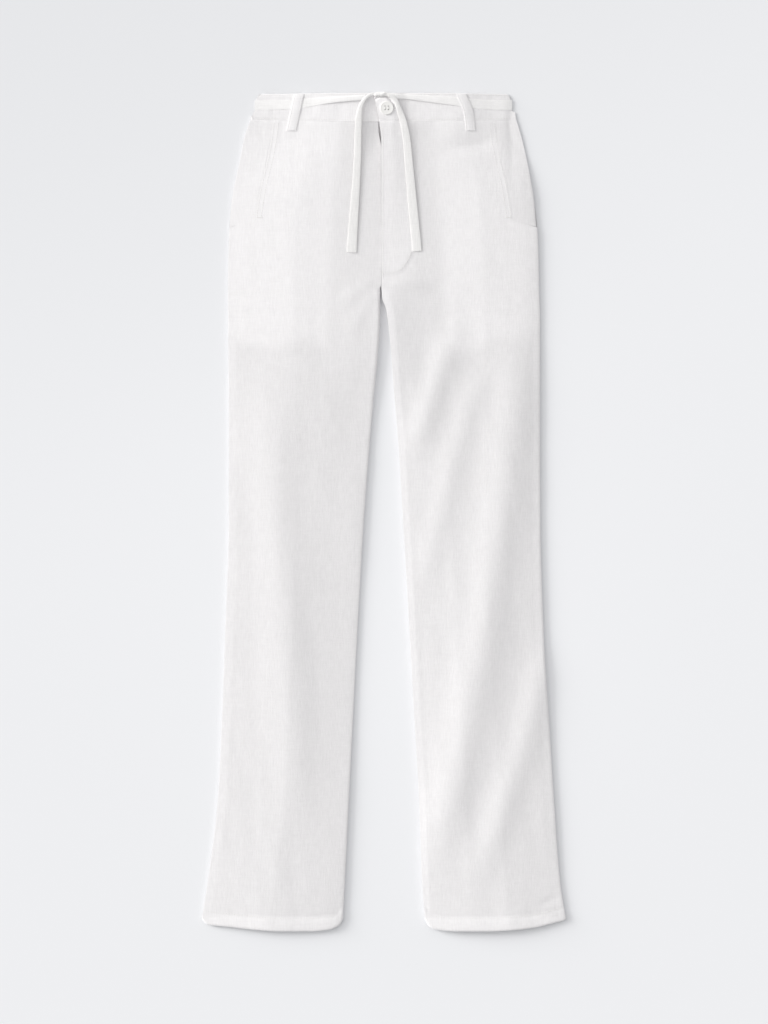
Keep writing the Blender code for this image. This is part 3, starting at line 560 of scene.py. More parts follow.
def back_face(side, x, y, edges):
    """Underside of a back: flat, and turned up at its edges."""
    top = front_upper(side, x, y, edges)
    seam = seam_level(side, y, edges, top) - GAP / 2
    low = seam + (band_low(x) * ramp(y, 425, 484) - seam) * edge_rise(y, edges)
    under = (top - 2 * LINEN - 2 * GAP) * (1 - by_light(side, edges)[0] / UNDERCUT).clip(0, 1)**2
    return np.maximum(low, under if side == RIGHT else legs_apart(y) * under)


def band_low(x):
    """Underside of the waistband's back, pressed down at its ends."""
    return BAND_LOW - LOW_SINK * sink(x) - SIDE_PRESS * ramp(np.abs(x), SIDE_PRESS_FROM, SINK_TO)


def tie_low(x):
    """Underside of the tie where it runs round the back."""
    return LOW_SINK * (1 - sink(x))


def band_top(side, x):
    """Upper face of the waistband: the left half's tab is raised, with a hollow below it."""
    height = BAND_HIGH - high_sink(x) - pinch(x)
    if side == LEFT:
        return height + OVERLAP_RAISE * (1 - ramp(x, *TAB_STEP))
    return height - 1.7 * bump(x, -9, 11) - 0.6 * ramp(x, -9, -4) - 0.9 * ramp(x, -1, 5)


def band_relief(side, x, share):
    """Slight unevenness of the waistband, its rounded edges and the grooves of its stitches."""
    at = x + 50 * side, share * 30
    uneven = 0.18 * wavy(*at, 6, 14, 31) + 0.3 * wavy(*at, 34, 30, 32)
    grooves = -0.15 * sum(bump(share, stitched, 0.02) for stitched in STITCH_SHARES)
    edges = -0.12 * (1 - rolled(share, 0.035)) - 0.4 * (1 - rolled(1 - share, 0.035))
    return uneven * ramp(share, 0, 0.1) * ramp(1 - share, 0, 0.1) + grooves + edges


def knot_hollow(x, y):
    """Depth of the hollow in the tab below the knot."""
    course = along_path(np.stack(list(KNOT_HOLLOW.values()), axis=1), 1)
    depth = np.zeros(np.shape(x))
    for at_x, at_y, deep, half_width in course:
        depth = np.maximum(depth, deep * np.exp(-((x - at_x)**2 + (y - at_y)**2) / half_width**2))
    return depth


def opening(y):
    """How far the fly's edge leans over to the right under the button."""
    return -OPENING_LEAN * ramp(y, 474, 498)


def slit(y):
    """And the right front's edge, which leaves a slit there."""
    return opening(y) - read(SLIT, "width", y)


def backing_of_front(side, x, y):
    """Doubled cloth behind a front: pocket bag, fly, hem and the seams' allowances."""
    outer, inner = seams(side, y)
    legs = 1 - ramp(y, CROTCH - 10, CROTCH)
    hem = 1 - ramp(y, CUFF + 1, CUFF + 4)
    inseam = legs * (1 - ramp(side * (x - inner), 7, 10))
    side_seam = 1 - ramp(side * (outer - x), 8, 11)
    fly = (1 - ramp(x - CENTRE, FLY_WIDTH, FLY_WIDTH + 5)) * ramp(y, FLY_FOOT, FLY_FOOT + 10) * (side == LEFT)
    parts = (pocket_bag(side, x, y), hem, 0.7 * inseam, 0.7 * side_seam, 0.6 * fly)
    return np.clip(np.maximum.reduce(parts), 0, 1)


# Grids and meshes

def row(x, y, z):
    """Points from their X, Y and Z, each of them one number or many."""
    return np.stack(np.broadcast_arrays(x, y, z), axis=-1)


def unit(vectors):
    return vectors / np.linalg.norm(vectors, axis=-1, keepdims=True)


def distances(points):
    """How far each point lies along its line."""
    return np.concatenate(([0], np.cumsum(np.linalg.norm(np.diff(points, axis=0), axis=1))))


def along_path(points, spacing):
    """Points at even spacing on a smooth curve through the given ones."""
    points = np.asarray(points, float)
    run = distances(points)
    at = np.linspace(0, run[-1], max(3, int(run[-1] / spacing) + 1))
    return np.stack([smooth(at, run, column) for column in points.T], axis=1)


def panel_rows(spacing):
    """Y of a panel's rows from the waist to the hem, closer at the crotch and at both ends."""
    tuck = [WAIST_SEAM + 5, WAIST_SEAM + 2.5, WAIST_SEAM, WAIST_SEAM - 1, WAIST_SEAM - 2.2]
    mouth = np.arange(WAIST_SEAM - 4, POCKET_FOOT + spacing / 2, -spacing)
    foot = [POCKET_FOOT, POCKET_FOOT - POCKET_FOOT_RUN]
    hip = np.arange(foot[-1] - spacing, CROTCH + 1.5, -spacing)
    crotch = np.arange(CROTCH + 1, CROTCH - 12, -1.5)
    leg = np.linspace(CROTCH - 13, CUFF + 2, int((CROTCH - 13 - CUFF) / spacing))
    return np.concatenate((tuck, mouth, foot, hip, crotch, leg, [CUFF + 1, CUFF + 0.4, CUFF]))


def panel_grid(side, rows, count, edge_steps, face, mouth=False, hem_lift=0, end_shift=lambda y: 0):
    """Points of a panel's outer face: a row at each y, from the side to the inseam or centre.

    They are closer where the cloth rolls over at a seam.
    """
    edge = EDGE_RADIUS * (1 - np.cos(np.linspace(0, pi / 2, edge_steps)))
    between = np.linspace(0, 1, count + 1)[1:-1]
    grid = []
    for y in rows:
        outer, inner = seams(side, y)
        end = inner + end_shift(y) + side * CENTRE_GAP
        first, last = outer - side * edge[-1], end + side * edge[-1]
        x = np.concatenate((outer - side * edge, first + (last - first) * between, end + side * edge[::-1]))
        share = (x - outer) / (end - outer)
        if mouth and y >= POCKET_FOOT:
            cut = outer - read(POCKET_MOUTH, SIDES[side], y)
            x = x - cut * (1 - np.abs(outer - x) / MOUTH_BLEND).clip(0, 1)**1.5
        at_hem = 1 - ramp(y, CUFF, CUFF + 70)
        hem = read(HEM, SIDES[side], share) + hem_lift
        bent = y + waist_bend(x, y) + at_hem * (hem - CUFF)
        grid.append(row(x, bent, face(side, x, bent, (np.abs(outer - x), np.abs(x - end)))))
    return np.array(grid)


def quads(index):
    """Faces of a grid of point numbers."""
    corners = (index[:-1, :-1], index[:-1, 1:], index[1:, 1:], index[1:, :-1])
    return np.stack([corner.ravel() for corner in corners], axis=1)


# Edges of a wall that are cut square: which of its points, and the axis they agree on
SQUARE_ENDS = ((0, slice(None), 1), (-1, slice(None), 1))
SQUARE_BAND = (*SQUARE_ENDS, (slice(None), -1, 0))


def wall(grid, thickness, up, square):
    """Points and faces of a closed wall behind the grid."""
    normal = unit(np.cross(np.gradient(grid, axis=1), np.gradient(grid, axis=0)))
    if normal[len(grid) // 2, 1, 2] * up < 0:
        normal = -normal
    inner = grid - normal * np.broadcast_to(thickness, grid.shape[:2])[..., None]
    for place in square:
        inner[place] = grid[place]
    index = np.arange(grid[..., 0].size).reshape(grid.shape[:2])
    ring = np.concatenate((index[0, :], index[1:, -1], index[-1, -2::-1], index[-2:0:-1, 0]))
    following = np.roll(ring, -1)
    rim = np.stack((following, ring, ring + index.size, following + index.size), axis=1)
    faces = np.concatenate((quads(index), quads(index + index.size)[:, ::-1], rim))
    return np.concatenate((grid.reshape(-1, 3), inner.reshape(-1, 3))), faces.tolist()


def tube(rings, ends):
    """Points and faces of rings of points, closed by a fan round a point at each end."""
    total = rings[..., 0].size
    index = np.arange(total).reshape(rings.shape[:2])
    index = np.concatenate((index, index[:, :1]), axis=1)
    first, last = index[0].tolist(), index[-1].tolist()
    fans = [[b, a, total] for a, b in zip(first, first[1:])]
    fans += [[a, b, total + 1] for a, b in zip(last, last[1:])]
    return np.concatenate((rings.reshape(-1, 3), ends)), quads(index).tolist() + fans


def triangles(points, faces):
    """The first, second and third corners of all triangles that the faces make."""
    corners = [(face[0], face[k], face[k + 1]) for face in faces for k in range(1, len(face) - 1)]
    return points[np.array(corners)].transpose(1, 0, 2)


def add(name, data):
    obj = bpy.data.objects.new(name, data)
    bpy.context.collection.objects.link(obj)
    return obj


def new_object(name, points, faces, material, sharp=60):
    """A mesh in metres whose faces point out, riding on the one body."""
    a, b, c = triangles(points, faces)
    if np.sum(a * np.cross(b, c)) < 0:
        faces = [face[::-1] for face in faces]
    mesh = bpy.data.meshes.new(name)
    mesh.from_pydata((points * MM).tolist(), [], faces)
    mesh.shade_smooth()
    mesh.set_sharp_from_angle(angle=radians(sharp))
    mesh.materials.append(material)
    obj = add(name, mesh)
    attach(obj, "root")
    return obj


def linen_piece(name, grid, thickness, up=1, square=SQUARE_ENDS, backed=None):
    """A piece of linen in place of its solid, and the area of one of its faces in square metres."""
    points, faces = wall(np.asarray(grid), thickness, up, square)
    piece = new_object(name + "_cloth", points, faces, LINEN_LOOK)
    if backed is not None:  # how much doubled cloth lies behind each point, for the material; lowered on the left facing as painted shade
        values = np.broadcast_to(backed, np.shape(grid)[:2]).ravel()
        attribute = piece.data.attributes.new("backing_and_shade", "FLOAT", "POINT")
        attribute.data.foreach_set("value", np.tile(values, 2).astype(np.float32))
    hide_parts(name)
    a, b, c = triangles(points, faces)
    both_faces = np.linalg.norm(np.cross(b - a, c - a), axis=1).sum() / 2
    return piece, 0.5 * float(both_faces) * MM**2


def tape(name, path, width, depth, material, side=None, steps=8):
    """A flat tape, or rolled where it is deep for its width, swept along a path."""
    path = np.asarray(path, float)
    tangent = unit(np.gradient(path, axis=0))
    if side is None:
        across_way = unit(np.cross(tangent, (0, 0, 1)))
    else:
        across_way = unit(side - tangent * (tangent @ side)[:, None])
    up_way = np.cross(across_way, tangent)
    angle = np.linspace(0, 2 * pi, 4 * steps, endpoint=False)
    out, up = (np.sign(value) * np.abs(value)**0.5 for value in (np.cos(angle), np.sin(angle)))
    up = up * (1 - 0.3 * np.abs(out)**3)
    out = out * np.broadcast_to(width, len(path))[:, None] / 2
    up = up * np.broadcast_to(depth, len(path))[:, None] / 2
    rings = path[:, None] + out[..., None] * across_way[:, None] + up[..., None] * up_way[:, None]
    points, faces = tube(rings, rings[[0, -1]].mean(axis=1))
    return new_object(name, points, faces, material)


# Materials

def join(tree, value, socket):
    """Links a socket, or sets a plain value."""
    if isinstance(value, bpy.types.NodeSocket):
        tree.links.new(value, socket)
    else:
        socket.default_value = value


def fill(tree, node, **inputs):
    """Joins values to a node's inputs by their names, with _ for a space."""
    for name, value in inputs.items():
        join(tree, value, node.inputs[name.replace("_", " ")])
    return node


def new_node(tree, kind, **inputs):
    return fill(tree, tree.nodes.new("ShaderNode" + kind), **inputs)


def maths(tree, operation, *values):
    node = new_node(tree, "Math")
    node.operation = operation
    for socket, value in zip(node.inputs, values):
        join(tree, value, socket)
    return node.outputs[0]


def blend(tree, factor, first, second, kind="MIX"):
    """A mix of two colours; the second one is plain."""
    node = new_node(tree, "Mix")
    node.data_type, node.blend_type = "RGBA", kind
    fill(tree, node, Factor=factor)
    join(tree, (*first, 1) if isinstance(first, tuple) else first, node.inputs[6])
    join(tree, (*second, 1), node.inputs[7])
    return node.outputs[2]


def soft_step(tree, value, start, end):
    node = new_node(tree, "MapRange", Value=value, From_Min=start, From_Max=end)
    node.interpolation_type = "SMOOTHSTEP"
    return node.outputs[0]


def stretched_noise(tree, place, scale_x, scale_y, detail=2):
    """Noise with its own number of cells to the metre across and along the cloth."""
    mapping = new_node(tree, "Mapping", Vector=place, Scale=(scale_x, scale_y, 400))
    noise = new_node(tree, "TexNoise", Vector=mapping.outputs[0], Scale=1, Detail=detail, Roughness=0.55)
    return noise.outputs["Fac"]


def threads(tree, place, direction, pitch=0.62):
    """Height of a row of threads, as a wave with an uneven course."""
    scale = 2 * pi / (20 * pitch * MM)
    wave = new_node(tree, "TexWave", Vector=place, Scale=scale, Distortion=1.2, Detail=2, Detail_Scale=0.35)
    wave.bands_direction = direction
    return wave.outputs["Fac"]


def new_material(name):
    """A new material, its tree, its shader and the place on the object."""
    material = bpy.data.materials.new(name)
    material.use_nodes = True
    tree = material.node_tree
    return material, tree, tree.nodes["Principled BSDF"], new_node(tree, "TexCoord").outputs["Object"]


def woven_material(name, pale, dark, backed=(1, 1, 1), slub=1, turned=False):
    """Plain weave of slubbed threads: pale cloth with darker flecks, paler where it is backed."""
    material, tree, shader, place = new_material(name)
    scales = (80, 640) if turned else (640, 80)
    warp, weft = (stretched_noise(tree, place, *cells) for cells in (scales, scales[::-1]))
    cloud = stretched_noise(tree, place, 26, 17, 3)
    fleck = maths(tree, "MULTIPLY_ADD", weft, 0.7, maths(tree, "MULTIPLY_ADD", warp, 1.3, -1))
    fleck = maths(tree, "MULTIPLY_ADD", fleck, 1.5 * slub, 0.295)
    colour = blend(tree, maths(tree, "MULTIPLY_ADD", cloud, 0.25, fleck), pale, dark)
    backing_and_shade = new_node(tree, "Attribute")
    backing_and_shade.attribute_name = "backing_and_shade"
    bare = maths(tree, "SUBTRACT", 1, backing_and_shade.outputs["Fac"])
    weave = maths(tree, "ADD", threads(tree, place, "X"), threads(tree, place, "Y"))
    relief = maths(tree, "MULTIPLY_ADD", fleck, 0.8, maths(tree, "MULTIPLY", weave, 0.5))
    relief = new_node(tree, "Bump", Height=relief, Strength=0.5, Distance=0.00022)
    fill(tree, shader, Base_Color=blend(tree, bare, colour, backed, "MULTIPLY"), Normal=relief.outputs[0],
         Roughness=0.92, Specular_IOR_Level=0.25, Sheen_Weight=0.12, Sheen_Roughness=0.6)
    return material


def thread_material():
    material, tree, shader, place = new_material("sewing_thread")
    colour = blend(tree, threads(tree, place, "DIAGONAL", 0.35), (0.80, 0.79, 0.76), (0.88, 0.87, 0.85))
    fill(tree, shader, Base_Color=colour, Roughness=0.6)
    return material


def button_material():
    material, tree, shader, place = new_material("button_shell")
    cloud = stretched_noise(tree, place, 260, 90, 4)
    colour = blend(tree, cloud, (0.85, 0.84, 0.815), (0.90, 0.89, 0.87))
    fill(tree, shader, Base_Color=colour, Roughness=0.28, Coat_Weight=0.3, Coat_Roughness=0.15)
    return material


def floor_material():
    """Pale paper, a little darker towards the upper left, with a painted pool of light round the middle."""
    material, tree, shader, place = new_material("pale_floor")
    parts = new_node(tree, "SeparateXYZ", Vector=place)
    up_left = maths(tree, "MULTIPLY_ADD", parts.outputs["X"], -0.35, parts.outputs["Y"])
    away = new_node(tree, "VectorMath")
    away.operation = "DISTANCE"
    join(tree, place, away.inputs[0])
    join(tree, (0.01, -0.10, 0), away.inputs[1])
    colour = blend(tree, soft_step(tree, up_left, 0.05, 0.95), (0.866, 0.871, 0.887), (0.800, 0.806, 0.822))
    # Painted light: the floor is paler round the middle
    colour = blend(tree, soft_step(tree, away.outputs["Value"], 0.52, 0), colour, (0.892, 0.897, 0.913))
    fill(tree, shader, Base_Color=colour, Roughness=0.95, Specular_IOR_Level=0.1)
    return material


LINEN_LOOK = woven_material(
    "linen", (0.932, 0.915, 0.918), (0.847, 0.83, 0.833), (0.93, 0.93, 0.93), slub=0.75)
# One tape in two colours: painted shade darkens its free ends and knot, and painted light makes its run round
# the waist paler
TAPE_LONG_SHADED = woven_material("tape_lengthwise_painted_shade", (0.905, 0.893, 0.882), (0.835, 0.823, 0.811))
TAPE_ACROSS_LIT = woven_material("tape_round_waist_painted_light", (0.968, 0.955, 0.947), (0.898, 0.885, 0.877), turned=True)
THREAD_LOOK = thread_material()
BUTTON_LOOK = button_material()


# Build

def clear_defaults():
    for name in {"Cube", "Light", "Camera"} & set(bpy.data.objects.keys()):
        bpy.data.objects.remove(bpy.data.objects[name], do_unlink=True)


def make_camera():
    """Straight above the garment, with the photograph's frame."""
    data = bpy.data.cameras.new("camera")
    data.lens, data.sensor_width = LENS, SENSOR
    camera = add("camera", data)
    right, down = np.array(PHOTO_SIZE) / 2 - PHOTO_MIDDLE
    camera.location = np.array((right, -down, PHOTO_SIZE[1] * LENS / SENSOR)) * PHOTO_SCALE * MM
    bpy.context.scene.camera = camera


def make_tie_ends():
    """They lie on the waistband above its seam, and on the fronts below it, with their height evened."""
    for side, name in SIDES.items():
        x, y, width, lift = along_path(np.stack(list(TIE_END[side].values()), axis=1), 2).T
        low = front_face(side, x, y)
        low = np.where(y > WAIST_SEAM - 6, np.maximum(band_top(side, x), low), low) + lift
        low = np.convolve(np.pad(low, EVENED // 2, mode="edge"), np.ones(EVENED) / EVENED, mode="valid")
        path = row(x, y, low + STRAND / 2)
        roll = 1 + 1.6 * (1 - ramp(width, 6, 9.5))
        end = tape("tie_end_%s_tape" % name, path, width, STRAND * roll, TAPE_LONG_SHADED)
        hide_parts("tie_end_" + name)


def make_fronts():
    for side, name in SIDES.items():
        shift = slit if side == RIGHT else opening
        grid = panel_grid(side, panel_rows(3.2), 58, 7, front_face, mouth=True, end_shift=shift)
        thick = LINEN + (HEM_CLOTH - LINEN) * (1 - ramp(grid[..., 1], CUFF, CUFF + 3))
        backed = backing_of_front(side, grid[..., 0], grid[..., 1])
        front, area = linen_piece("front_" + name, grid, thick, backed=backed)


def make_backs():
    for side, name in SIDES.items():
        grid = panel_grid(side, panel_rows(6), 44, 5, back_face, hem_lift=0.8)
        back, area = linen_piece("back_" + name, grid, LINEN, up=-1)


def make_pocket_facings():
    foot = POCKET_FOOT + 2 * GAP
    for side, name in SIDES.items():
        grid = []
        for y in np.append(np.arange(WAIST_SEAM + 4, foot + 2, -2), foot):
            outer = seams(side, y)[0]
            last = read(POCKET_MOUTH, name, y) - side * 6
            turn = outer - side * EDGE_RADIUS * (1 - np.cos(np.linspace(0, pi / 2, 7)))
            x = np.concatenate((turn, np.linspace(turn[-1], last, 16)[1:]))
            slope = POCKET_FOOT_RUN * (x - last) / (outer - last) * (1 - ramp(y, foot, foot + 30))
            bent = y + waist_bend(x, y) - slope
            drop = FACING_DROP * ramp(np.abs(outer - x), 0, 12) + 1.2 * (1 - ramp(np.abs(x - last), 2, 5.5))
            edges = np.abs(outer - x), side * (x - seams(side, bent)[1])
            grid.append(row(x, bent, front_face(side, x, bent, edges) - drop))
        # On the left the lower backing value paints shade on the facing
        facing, area = linen_piece("pocket_facing_" + name, grid, LINEN, backed=FACING_BACKING_AND_SHADE[side])


def strip_round(front_x, side_x, end, high, low, reach, back_count):
    """X and Z of a strip that runs out over the front, turns and comes back below."""
    way = np.sign(side_x)
    turn = side_x - way * reach
    angle = np.linspace(0, pi, TURN_STEPS + 2)
    half = (high - low(side_x)) / 2
    turn_z = low(side_x) + half + half * np.cos(angle)
    lean = LIT_LEAN * np.clip(1 - turn_z / LIT_LEAN_TO, 0, 1) if way == RIGHT else 0
    turn_x = turn + way * (reach * np.sin(angle) - lean)
    back_x = turn_x[-1] + (end - turn_x[-1]) * np.linspace(0, 1, back_count)[1:]
    x = np.concatenate((front_x, turn_x, back_x))
    return x, np.concatenate((np.full(len(front_x), high), turn_z, low(back_x)))


def make_waistband():
    shares = np.concatenate(([0, 0.012, 0.03], np.linspace(*STITCH_SHARES, 42), [0.97, 0.988, 1]))
    for side, name in SIDES.items():
        grid = []
        for share in shares:
            side_x = read(BAND_ROWS, name, share)
            front_x = np.linspace(BAND_UNDERLAP, side_x + 1.2, 64)
            if side == LEFT:
                tab = np.linspace(read(TAB_END, "x", share), 24, 52)
                front_x = np.append(tab, np.linspace(24, side_x - 1.2, 60)[1:])
            centre_x = CENTRE + side * GAP / 2
            x, z = strip_round(front_x, side_x, centre_x, band_top(side, side_x), band_low, BAND_TURN, 40)
            y = band_y(x, share)
            front = slice(0, len(front_x))
            z[front] = band_top(side, front_x) + band_relief(side, front_x, share)
            if side == LEFT:
                z[front] -= knot_hollow(front_x, y[front])
            grid.append(row(x, y, z))
        grid = np.array(grid)
        thick = BAND - (BAND - BAND_AT_SIDE) * sink(grid[..., 0])
        band = linen_piece("waistband_" + name, grid, thick, square=SQUARE_BAND, backed=1)[0]


def make_fly_underlap():
    x = np.linspace(CENTRE + 0.5, CENTRE + 31, 12)
    grid = []
    for y in np.linspace(WAIST_SEAM - 1, FLY_FOOT + 14, 40):
        under = front_top(LEFT, x, y) - SOLID_LINEN - GAP - 0.3
        grid.append(row(x, y, np.minimum(under, read(LEVELS, "front", y) - 0.3)))
    underlap = linen_piece("fly_underlap", grid, LINEN, square=())[0]


def loop_height(up, x, along):
    """Outer face of a loop, over the tie above and on the waistband below."""
    over = TAPE_AT_SIDE + 0.15 if up > 0 else GAP + TAPE
    lift = 0.1 + LOOP + read(LOOP_ARC, "rise", along) * over
    return BAND_HIGH - high_sink(x) + lift if up > 0 else band_low(x) - lift


def loop_points(loop, along, share, relief):
    """Points of a loop at a share of its width, raised by the relief."""
    up, *middles = loop
    x = smooth(along, (0, 0.5, 1), middles) + LOOP_WIDTH * share
    return row(x, LOOP_TOP + (LOOP_FOOT - LOOP_TOP) * along, loop_height(up, x, along) + up * relief)


def make_belt_loops():
    share = np.concatenate(([-0.5, -0.485], np.linspace(-0.45, 0.45, 11), [0.485, 0.5]))
    wide = np.abs(share)
    relief = -share**2 - 0.2 * bump(wide, 0.38, 0.04) - 0.12 * ramp(wide, 0.46, 0.5)
    for name, loop in LOOPS.items():
        grid = [loop_points(loop, along, share, relief) for along in np.linspace(0, 1, 48)]
        piece = linen_piece(name, grid, LOOP, up=loop[0], square=(), backed=1)[0]


def make_tie_waist():
    for side, name in SIDES.items():
        run = TIE_RUN[side]
        front_x = side * np.arange(abs(run["x"][0]), 160.1, 2.5)
        high = band_top(side, side * 163) + TAPE_AT_SIDE
        x, z = strip_round(front_x, TIE_SIDE[side], side * TIE_BACK_END, high, tie_low, TIE_TURN, 50)
        past = len(front_x)
        low = smooth(np.abs(x), np.abs(run["x"]), run["low"])
        width = smooth(np.abs(x), np.abs(run["x"]), run["width"])
        low[past:], width[past:] = run["low"][-1], run["width"][-1]
        rolled_up = (np.arange(len(x)) < past) * (1 - ramp(width, 6, 9))
        thins = ramp(np.abs(x), *TIE_THINS)
        thick = TAPE * (1 + 0.7 * rolled_up) - (TAPE - TAPE_AT_SIDE) * thins
        z[:past] = band_top(side, front_x) + (GAP * (1 - thins) + thick)[:past]
        way_x, way_z = np.gradient(x), np.gradient(z)
        step = np.hypot(way_x, way_z)
        x, z = x + side * way_z / step * thick / 2, z - side * way_x / step * thick / 2
        back = slice(past + TURN_STEPS + 2, None)
        z[back] = tie_low(x[back]) + thick[back] / 2
        path = row(x, low + width / 2, z)
        band = tape("tie_waist_%s_tape" % name, path, width, thick, TAPE_ACROSS_LIT, side=(0, 1, 0))
        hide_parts("tie_waist_" + name)
    reach = TIE_BACK_END - GAP
    path = row(np.linspace(-reach, reach, 40), TIE_BACK_LOW + TIE_WIDTH / 2, LOOP_SEAT + TAPE / 2)
    back = tape("tie_waist_back_tape", path, TIE_WIDTH, TAPE, TAPE_ACROSS_LIT, side=(0, 1, 0))
    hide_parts("tie_waist_back")


def make_knot():
    made = [tape(name, along_path(points, 0.8), width, depth, TAPE_LONG_SHADED, side=side)
            for name, side, width, depth, points in KNOT_TURNS]
    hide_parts("tie_knot")


def make_button():
    low = float(band_top(LEFT, 0)) + 0.1
    face = low + BUTTON_DEPTH * BUTTON_PROFILE["up"][-1]
    centre_x, centre_y = BUTTON_CENTRE
    angle = np.linspace(0, 2 * pi, BUTTON_SEGMENTS, endpoint=False)
    out = BUTTON_RADIUS * BUTTON_PROFILE["out"][:, None]
    up = low + BUTTON_DEPTH * BUTTON_PROFILE["up"][:, None]
    rings = row(centre_x + out * np.cos(angle), centre_y + out * np.sin(angle), up)
    points, faces = tube(rings, [(*BUTTON_CENTRE, low), (*BUTTON_CENTRE, face)])
    button = new_object("button_shell", points, faces, BUTTON_LOOK, sharp=40)
    half = HOLE_SPACING / 2
    for hole_x in (-half, half):
        for hole_y in (-half, half):
            drill(button, centre_x + hole_x, centre_y + hole_y, low)
    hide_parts("button")
    # Thread across each pair of holes, down through them: Y from the middle, and Z
    course = (
        (0.4 - half, low + 0.4), (0.4 - half, face - 0.4), (1 - half, face + 0.1), (0, face + 0.2),
        (half - 1, face + 0.1), (half - 0.4, face - 0.4), (half - 0.4, low + 0.4),
    )
    for k, hole_x in enumerate((-half, half)):
        points = [(centre_x + hole_x, centre_y + y, z) for y, z in course]
        path = along_path(points, 0.25)
        tape("button_thread_%d" % (k + 1), path, 0.7, 0.5, THREAD_LOOK, side=(1, 0, 0), steps=3)


def drill(button, x, y, low):
    """Cut one sewing hole through the button, and keep the result as its mesh."""
    bpy.ops.mesh.primitive_cylinder_add(
        vertices=24, radius=HOLE_RADIUS * MM, depth=4 * BUTTON_DEPTH * MM,
        location=(x * MM, y * MM, low * MM),
    )
    cutter = bpy.context.object
    cut = button.modifiers.new("hole", "BOOLEAN")
    cut.operation, cut.object = "DIFFERENCE", cutter
    shape = bpy.data.meshes.new_from_object(button.evaluated_get(bpy.context.evaluated_depsgraph_get()))
    button.modifiers.clear()
    button.data = shape
    bpy.data.objects.remove(cutter, do_unlink=True)


# Sewing

def stitches(name, lines, pitch=3.3, length=2.5, up=1, radius=STITCH_RADIUS):
    """Stitches along one or more lines of points, half sunk in the cloth: four rings each."""
    ring_at = np.array((-0.5, -0.28, 0.28, 0.5)) * length
    ring_size = np.array(((0.35,), (1,), (1,), (0.35,))) * radius
    ring_low = np.array(((-0.8,), (0.15,), (0.15,), (-0.8,))) * radius
    angle = np.linspace(0, 2 * pi, STITCH_SIDES, endpoint=False)
    wide, high = ring_size * np.cos(angle), ring_size * np.sin(angle) + ring_low
    made = []
    for line in lines:
        run = distances(line)
        at = np.arange(pitch / 2, run[-1], pitch)
        centre, ahead, behind = (
            np.stack([np.interp(at + step, run, column) for column in line.T], axis=1)[:, None, None]
            for step in (0, 0.6, -0.6))
        way = unit(ahead - behind)
        flat = unit(np.cross(way, (0, 0, 1)))
        lift = np.cross(flat, way) * up
        made.append(centre + way * ring_at[:, None, None] + flat * wide[..., None] + lift * high[..., None])
    rings = np.concatenate(made)
    index = np.arange(rings[..., 0].size).reshape(rings.shape[:3])
    after = np.roll(index, -1, axis=2)
    sides = np.stack((index[:, :-1], after[:, :-1], after[:, 1:], index[:, 1:]), axis=-1)
    faces = sides.reshape(-1, 4).tolist() + index[:, 0, ::-1].tolist() + index[:, -1].tolist()
    return new_object(name, rings.reshape(-1, 3), faces, THREAD_LOOK, sharp=180)


def on_front(side, x, y):
    return row(x, y, front_face(side, x, y))


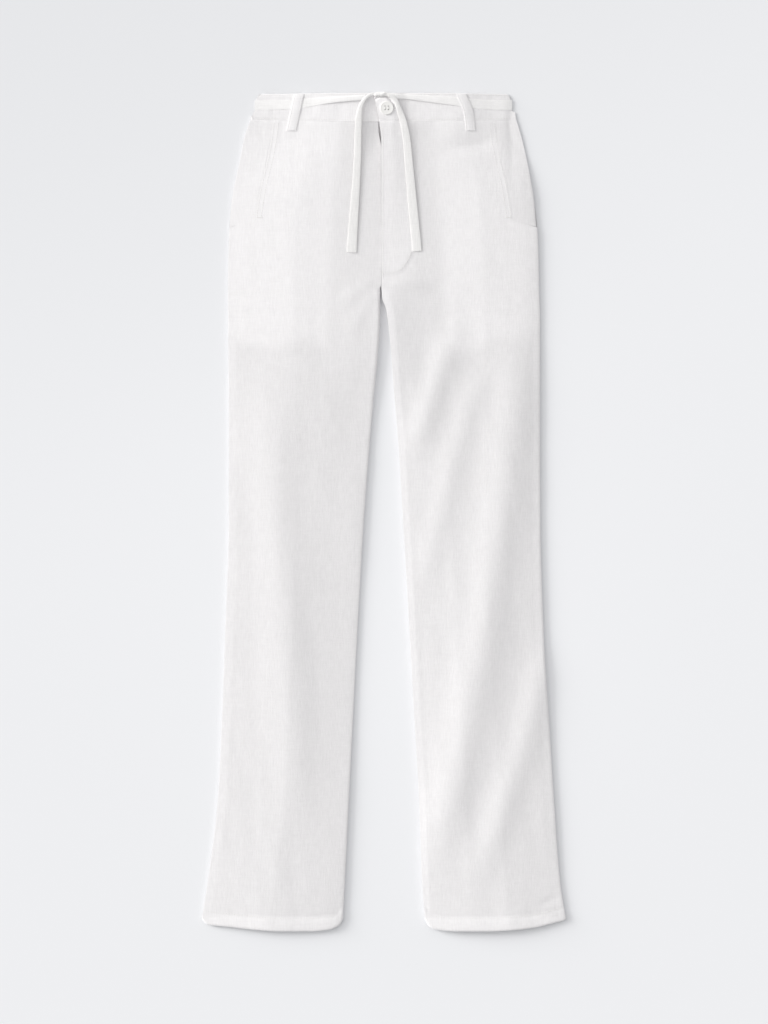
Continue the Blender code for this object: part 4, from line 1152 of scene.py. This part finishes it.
def make_sewing():
    for side, name in SIDES.items():
        outer, inner = seams(side, CUFF + HEM_DEPTH / 2)
        x = outer + (inner - outer) * np.linspace(0.012, 0.988, 120)
        stitches("hem_stitches_" + name, [on_front(side, x, hem_edge(side, x) + HEM_DEPTH)])
        y = np.linspace(WAIST_SEAM - 1, POCKET_FOOT + 4, 60)
        mouth = read(POCKET_MOUTH, name, y)
        lines = [on_front(side, mouth - side * inset, y) for inset in (1.6, 7)]
        stitches("pocket_stitches_" + name, lines)
        bar_x = lines[0][-1][0] - side * np.linspace(-0.5, 6, 9)
        bar = on_front(side, bar_x, np.full(9, POCKET_FOOT + 3))
        stitches("pocket_bar_" + name, [bar + (0, 0, 0.1)], pitch=1, length=1.6, radius=0.32)
    # The fly: down beside the opening, round its foot to the centre, and along its own edge
    down = np.arange(WAIST_SEAM - 3, FLY_FOOT + FLY_CORNER, -3)
    share = np.linspace(1, 0, 40)**0.5
    x = FLY_WIDTH * np.concatenate((np.ones(len(down)), share)) + CENTRE
    y = np.concatenate((down, FLY_FOOT + FLY_CORNER * share**4))
    stitches("fly_stitches", [on_front(LEFT, x, y)])
    y = np.linspace(WAIST_SEAM - 4, FLY_FOOT - 6, 90)
    stitches("fly_edge_stitches", [on_front(LEFT, CENTRE + 2 + opening(y), y)])
    lines = []
    for side, start in ((LEFT, -4), (RIGHT, BAND_UNDERLAP - 20)):
        x = np.linspace(start, side * 156, 160)
        for share in STITCH_SHARES:
            lines.append(row(x, band_y(x, share), band_top(side, x) + band_relief(side, x, share)))
    stitches("waistband_stitches", lines)
    for name, loop in LOOPS.items():
        lines = [loop_points(loop, np.linspace(0.02, 0.98, 50), edge, -0.3) for edge in (-0.38, 0.38)]
        stitches(name + "_stitches", lines, up=loop[0])


def make_floor():
    mesh = bpy.data.meshes.new("floor")
    corners = [(x * FLOOR_HALF, y * FLOOR_HALF, 0) for x, y in ((-1, -1), (1, -1), (1, 1), (-1, 1))]
    mesh.from_pydata(corners, [], [(0, 1, 2, 3)])
    mesh.materials.append(floor_material())
    floor = add("floor", mesh)
    floor.location = (0, 0, FLOOR_HEIGHT)


def make_light():
    for azimuth, elevation, width, share in zip(*LIGHTS.values()):
        data = bpy.data.lights.new("sun", "SUN")
        data.angle = radians(width)
        data.energy = share * pi / sin(radians(elevation))
        data.color = (1, 0.995, 0.985)
        sun = add("sun", data)
        flat = cos(radians(elevation))
        sun.location = (flat * cos(radians(azimuth)), flat * sin(radians(azimuth)), sin(radians(elevation)))
        sun.rotation_mode = "QUATERNION"
        sun.rotation_quaternion = sun.location.to_track_quat("Z", "Y")
    world = bpy.data.worlds.new("fill")
    world.use_nodes = True
    background = world.node_tree.nodes["Background"]
    background.inputs["Color"].default_value = (0.985, 0.99, 1, 1)
    background.inputs["Strength"].default_value = 1 - LIGHTS["share"].sum()
    bpy.context.scene.world = world
    bpy.context.scene.view_settings.view_transform = "Standard"


clear_defaults()
make_camera()
make_tie_ends()
make_fronts()
make_backs()
make_pocket_facings()
make_waistband()
make_fly_underlap()
make_belt_loops()
make_tie_waist()
make_knot()
make_button()
make_sewing()
make_floor()
make_light()
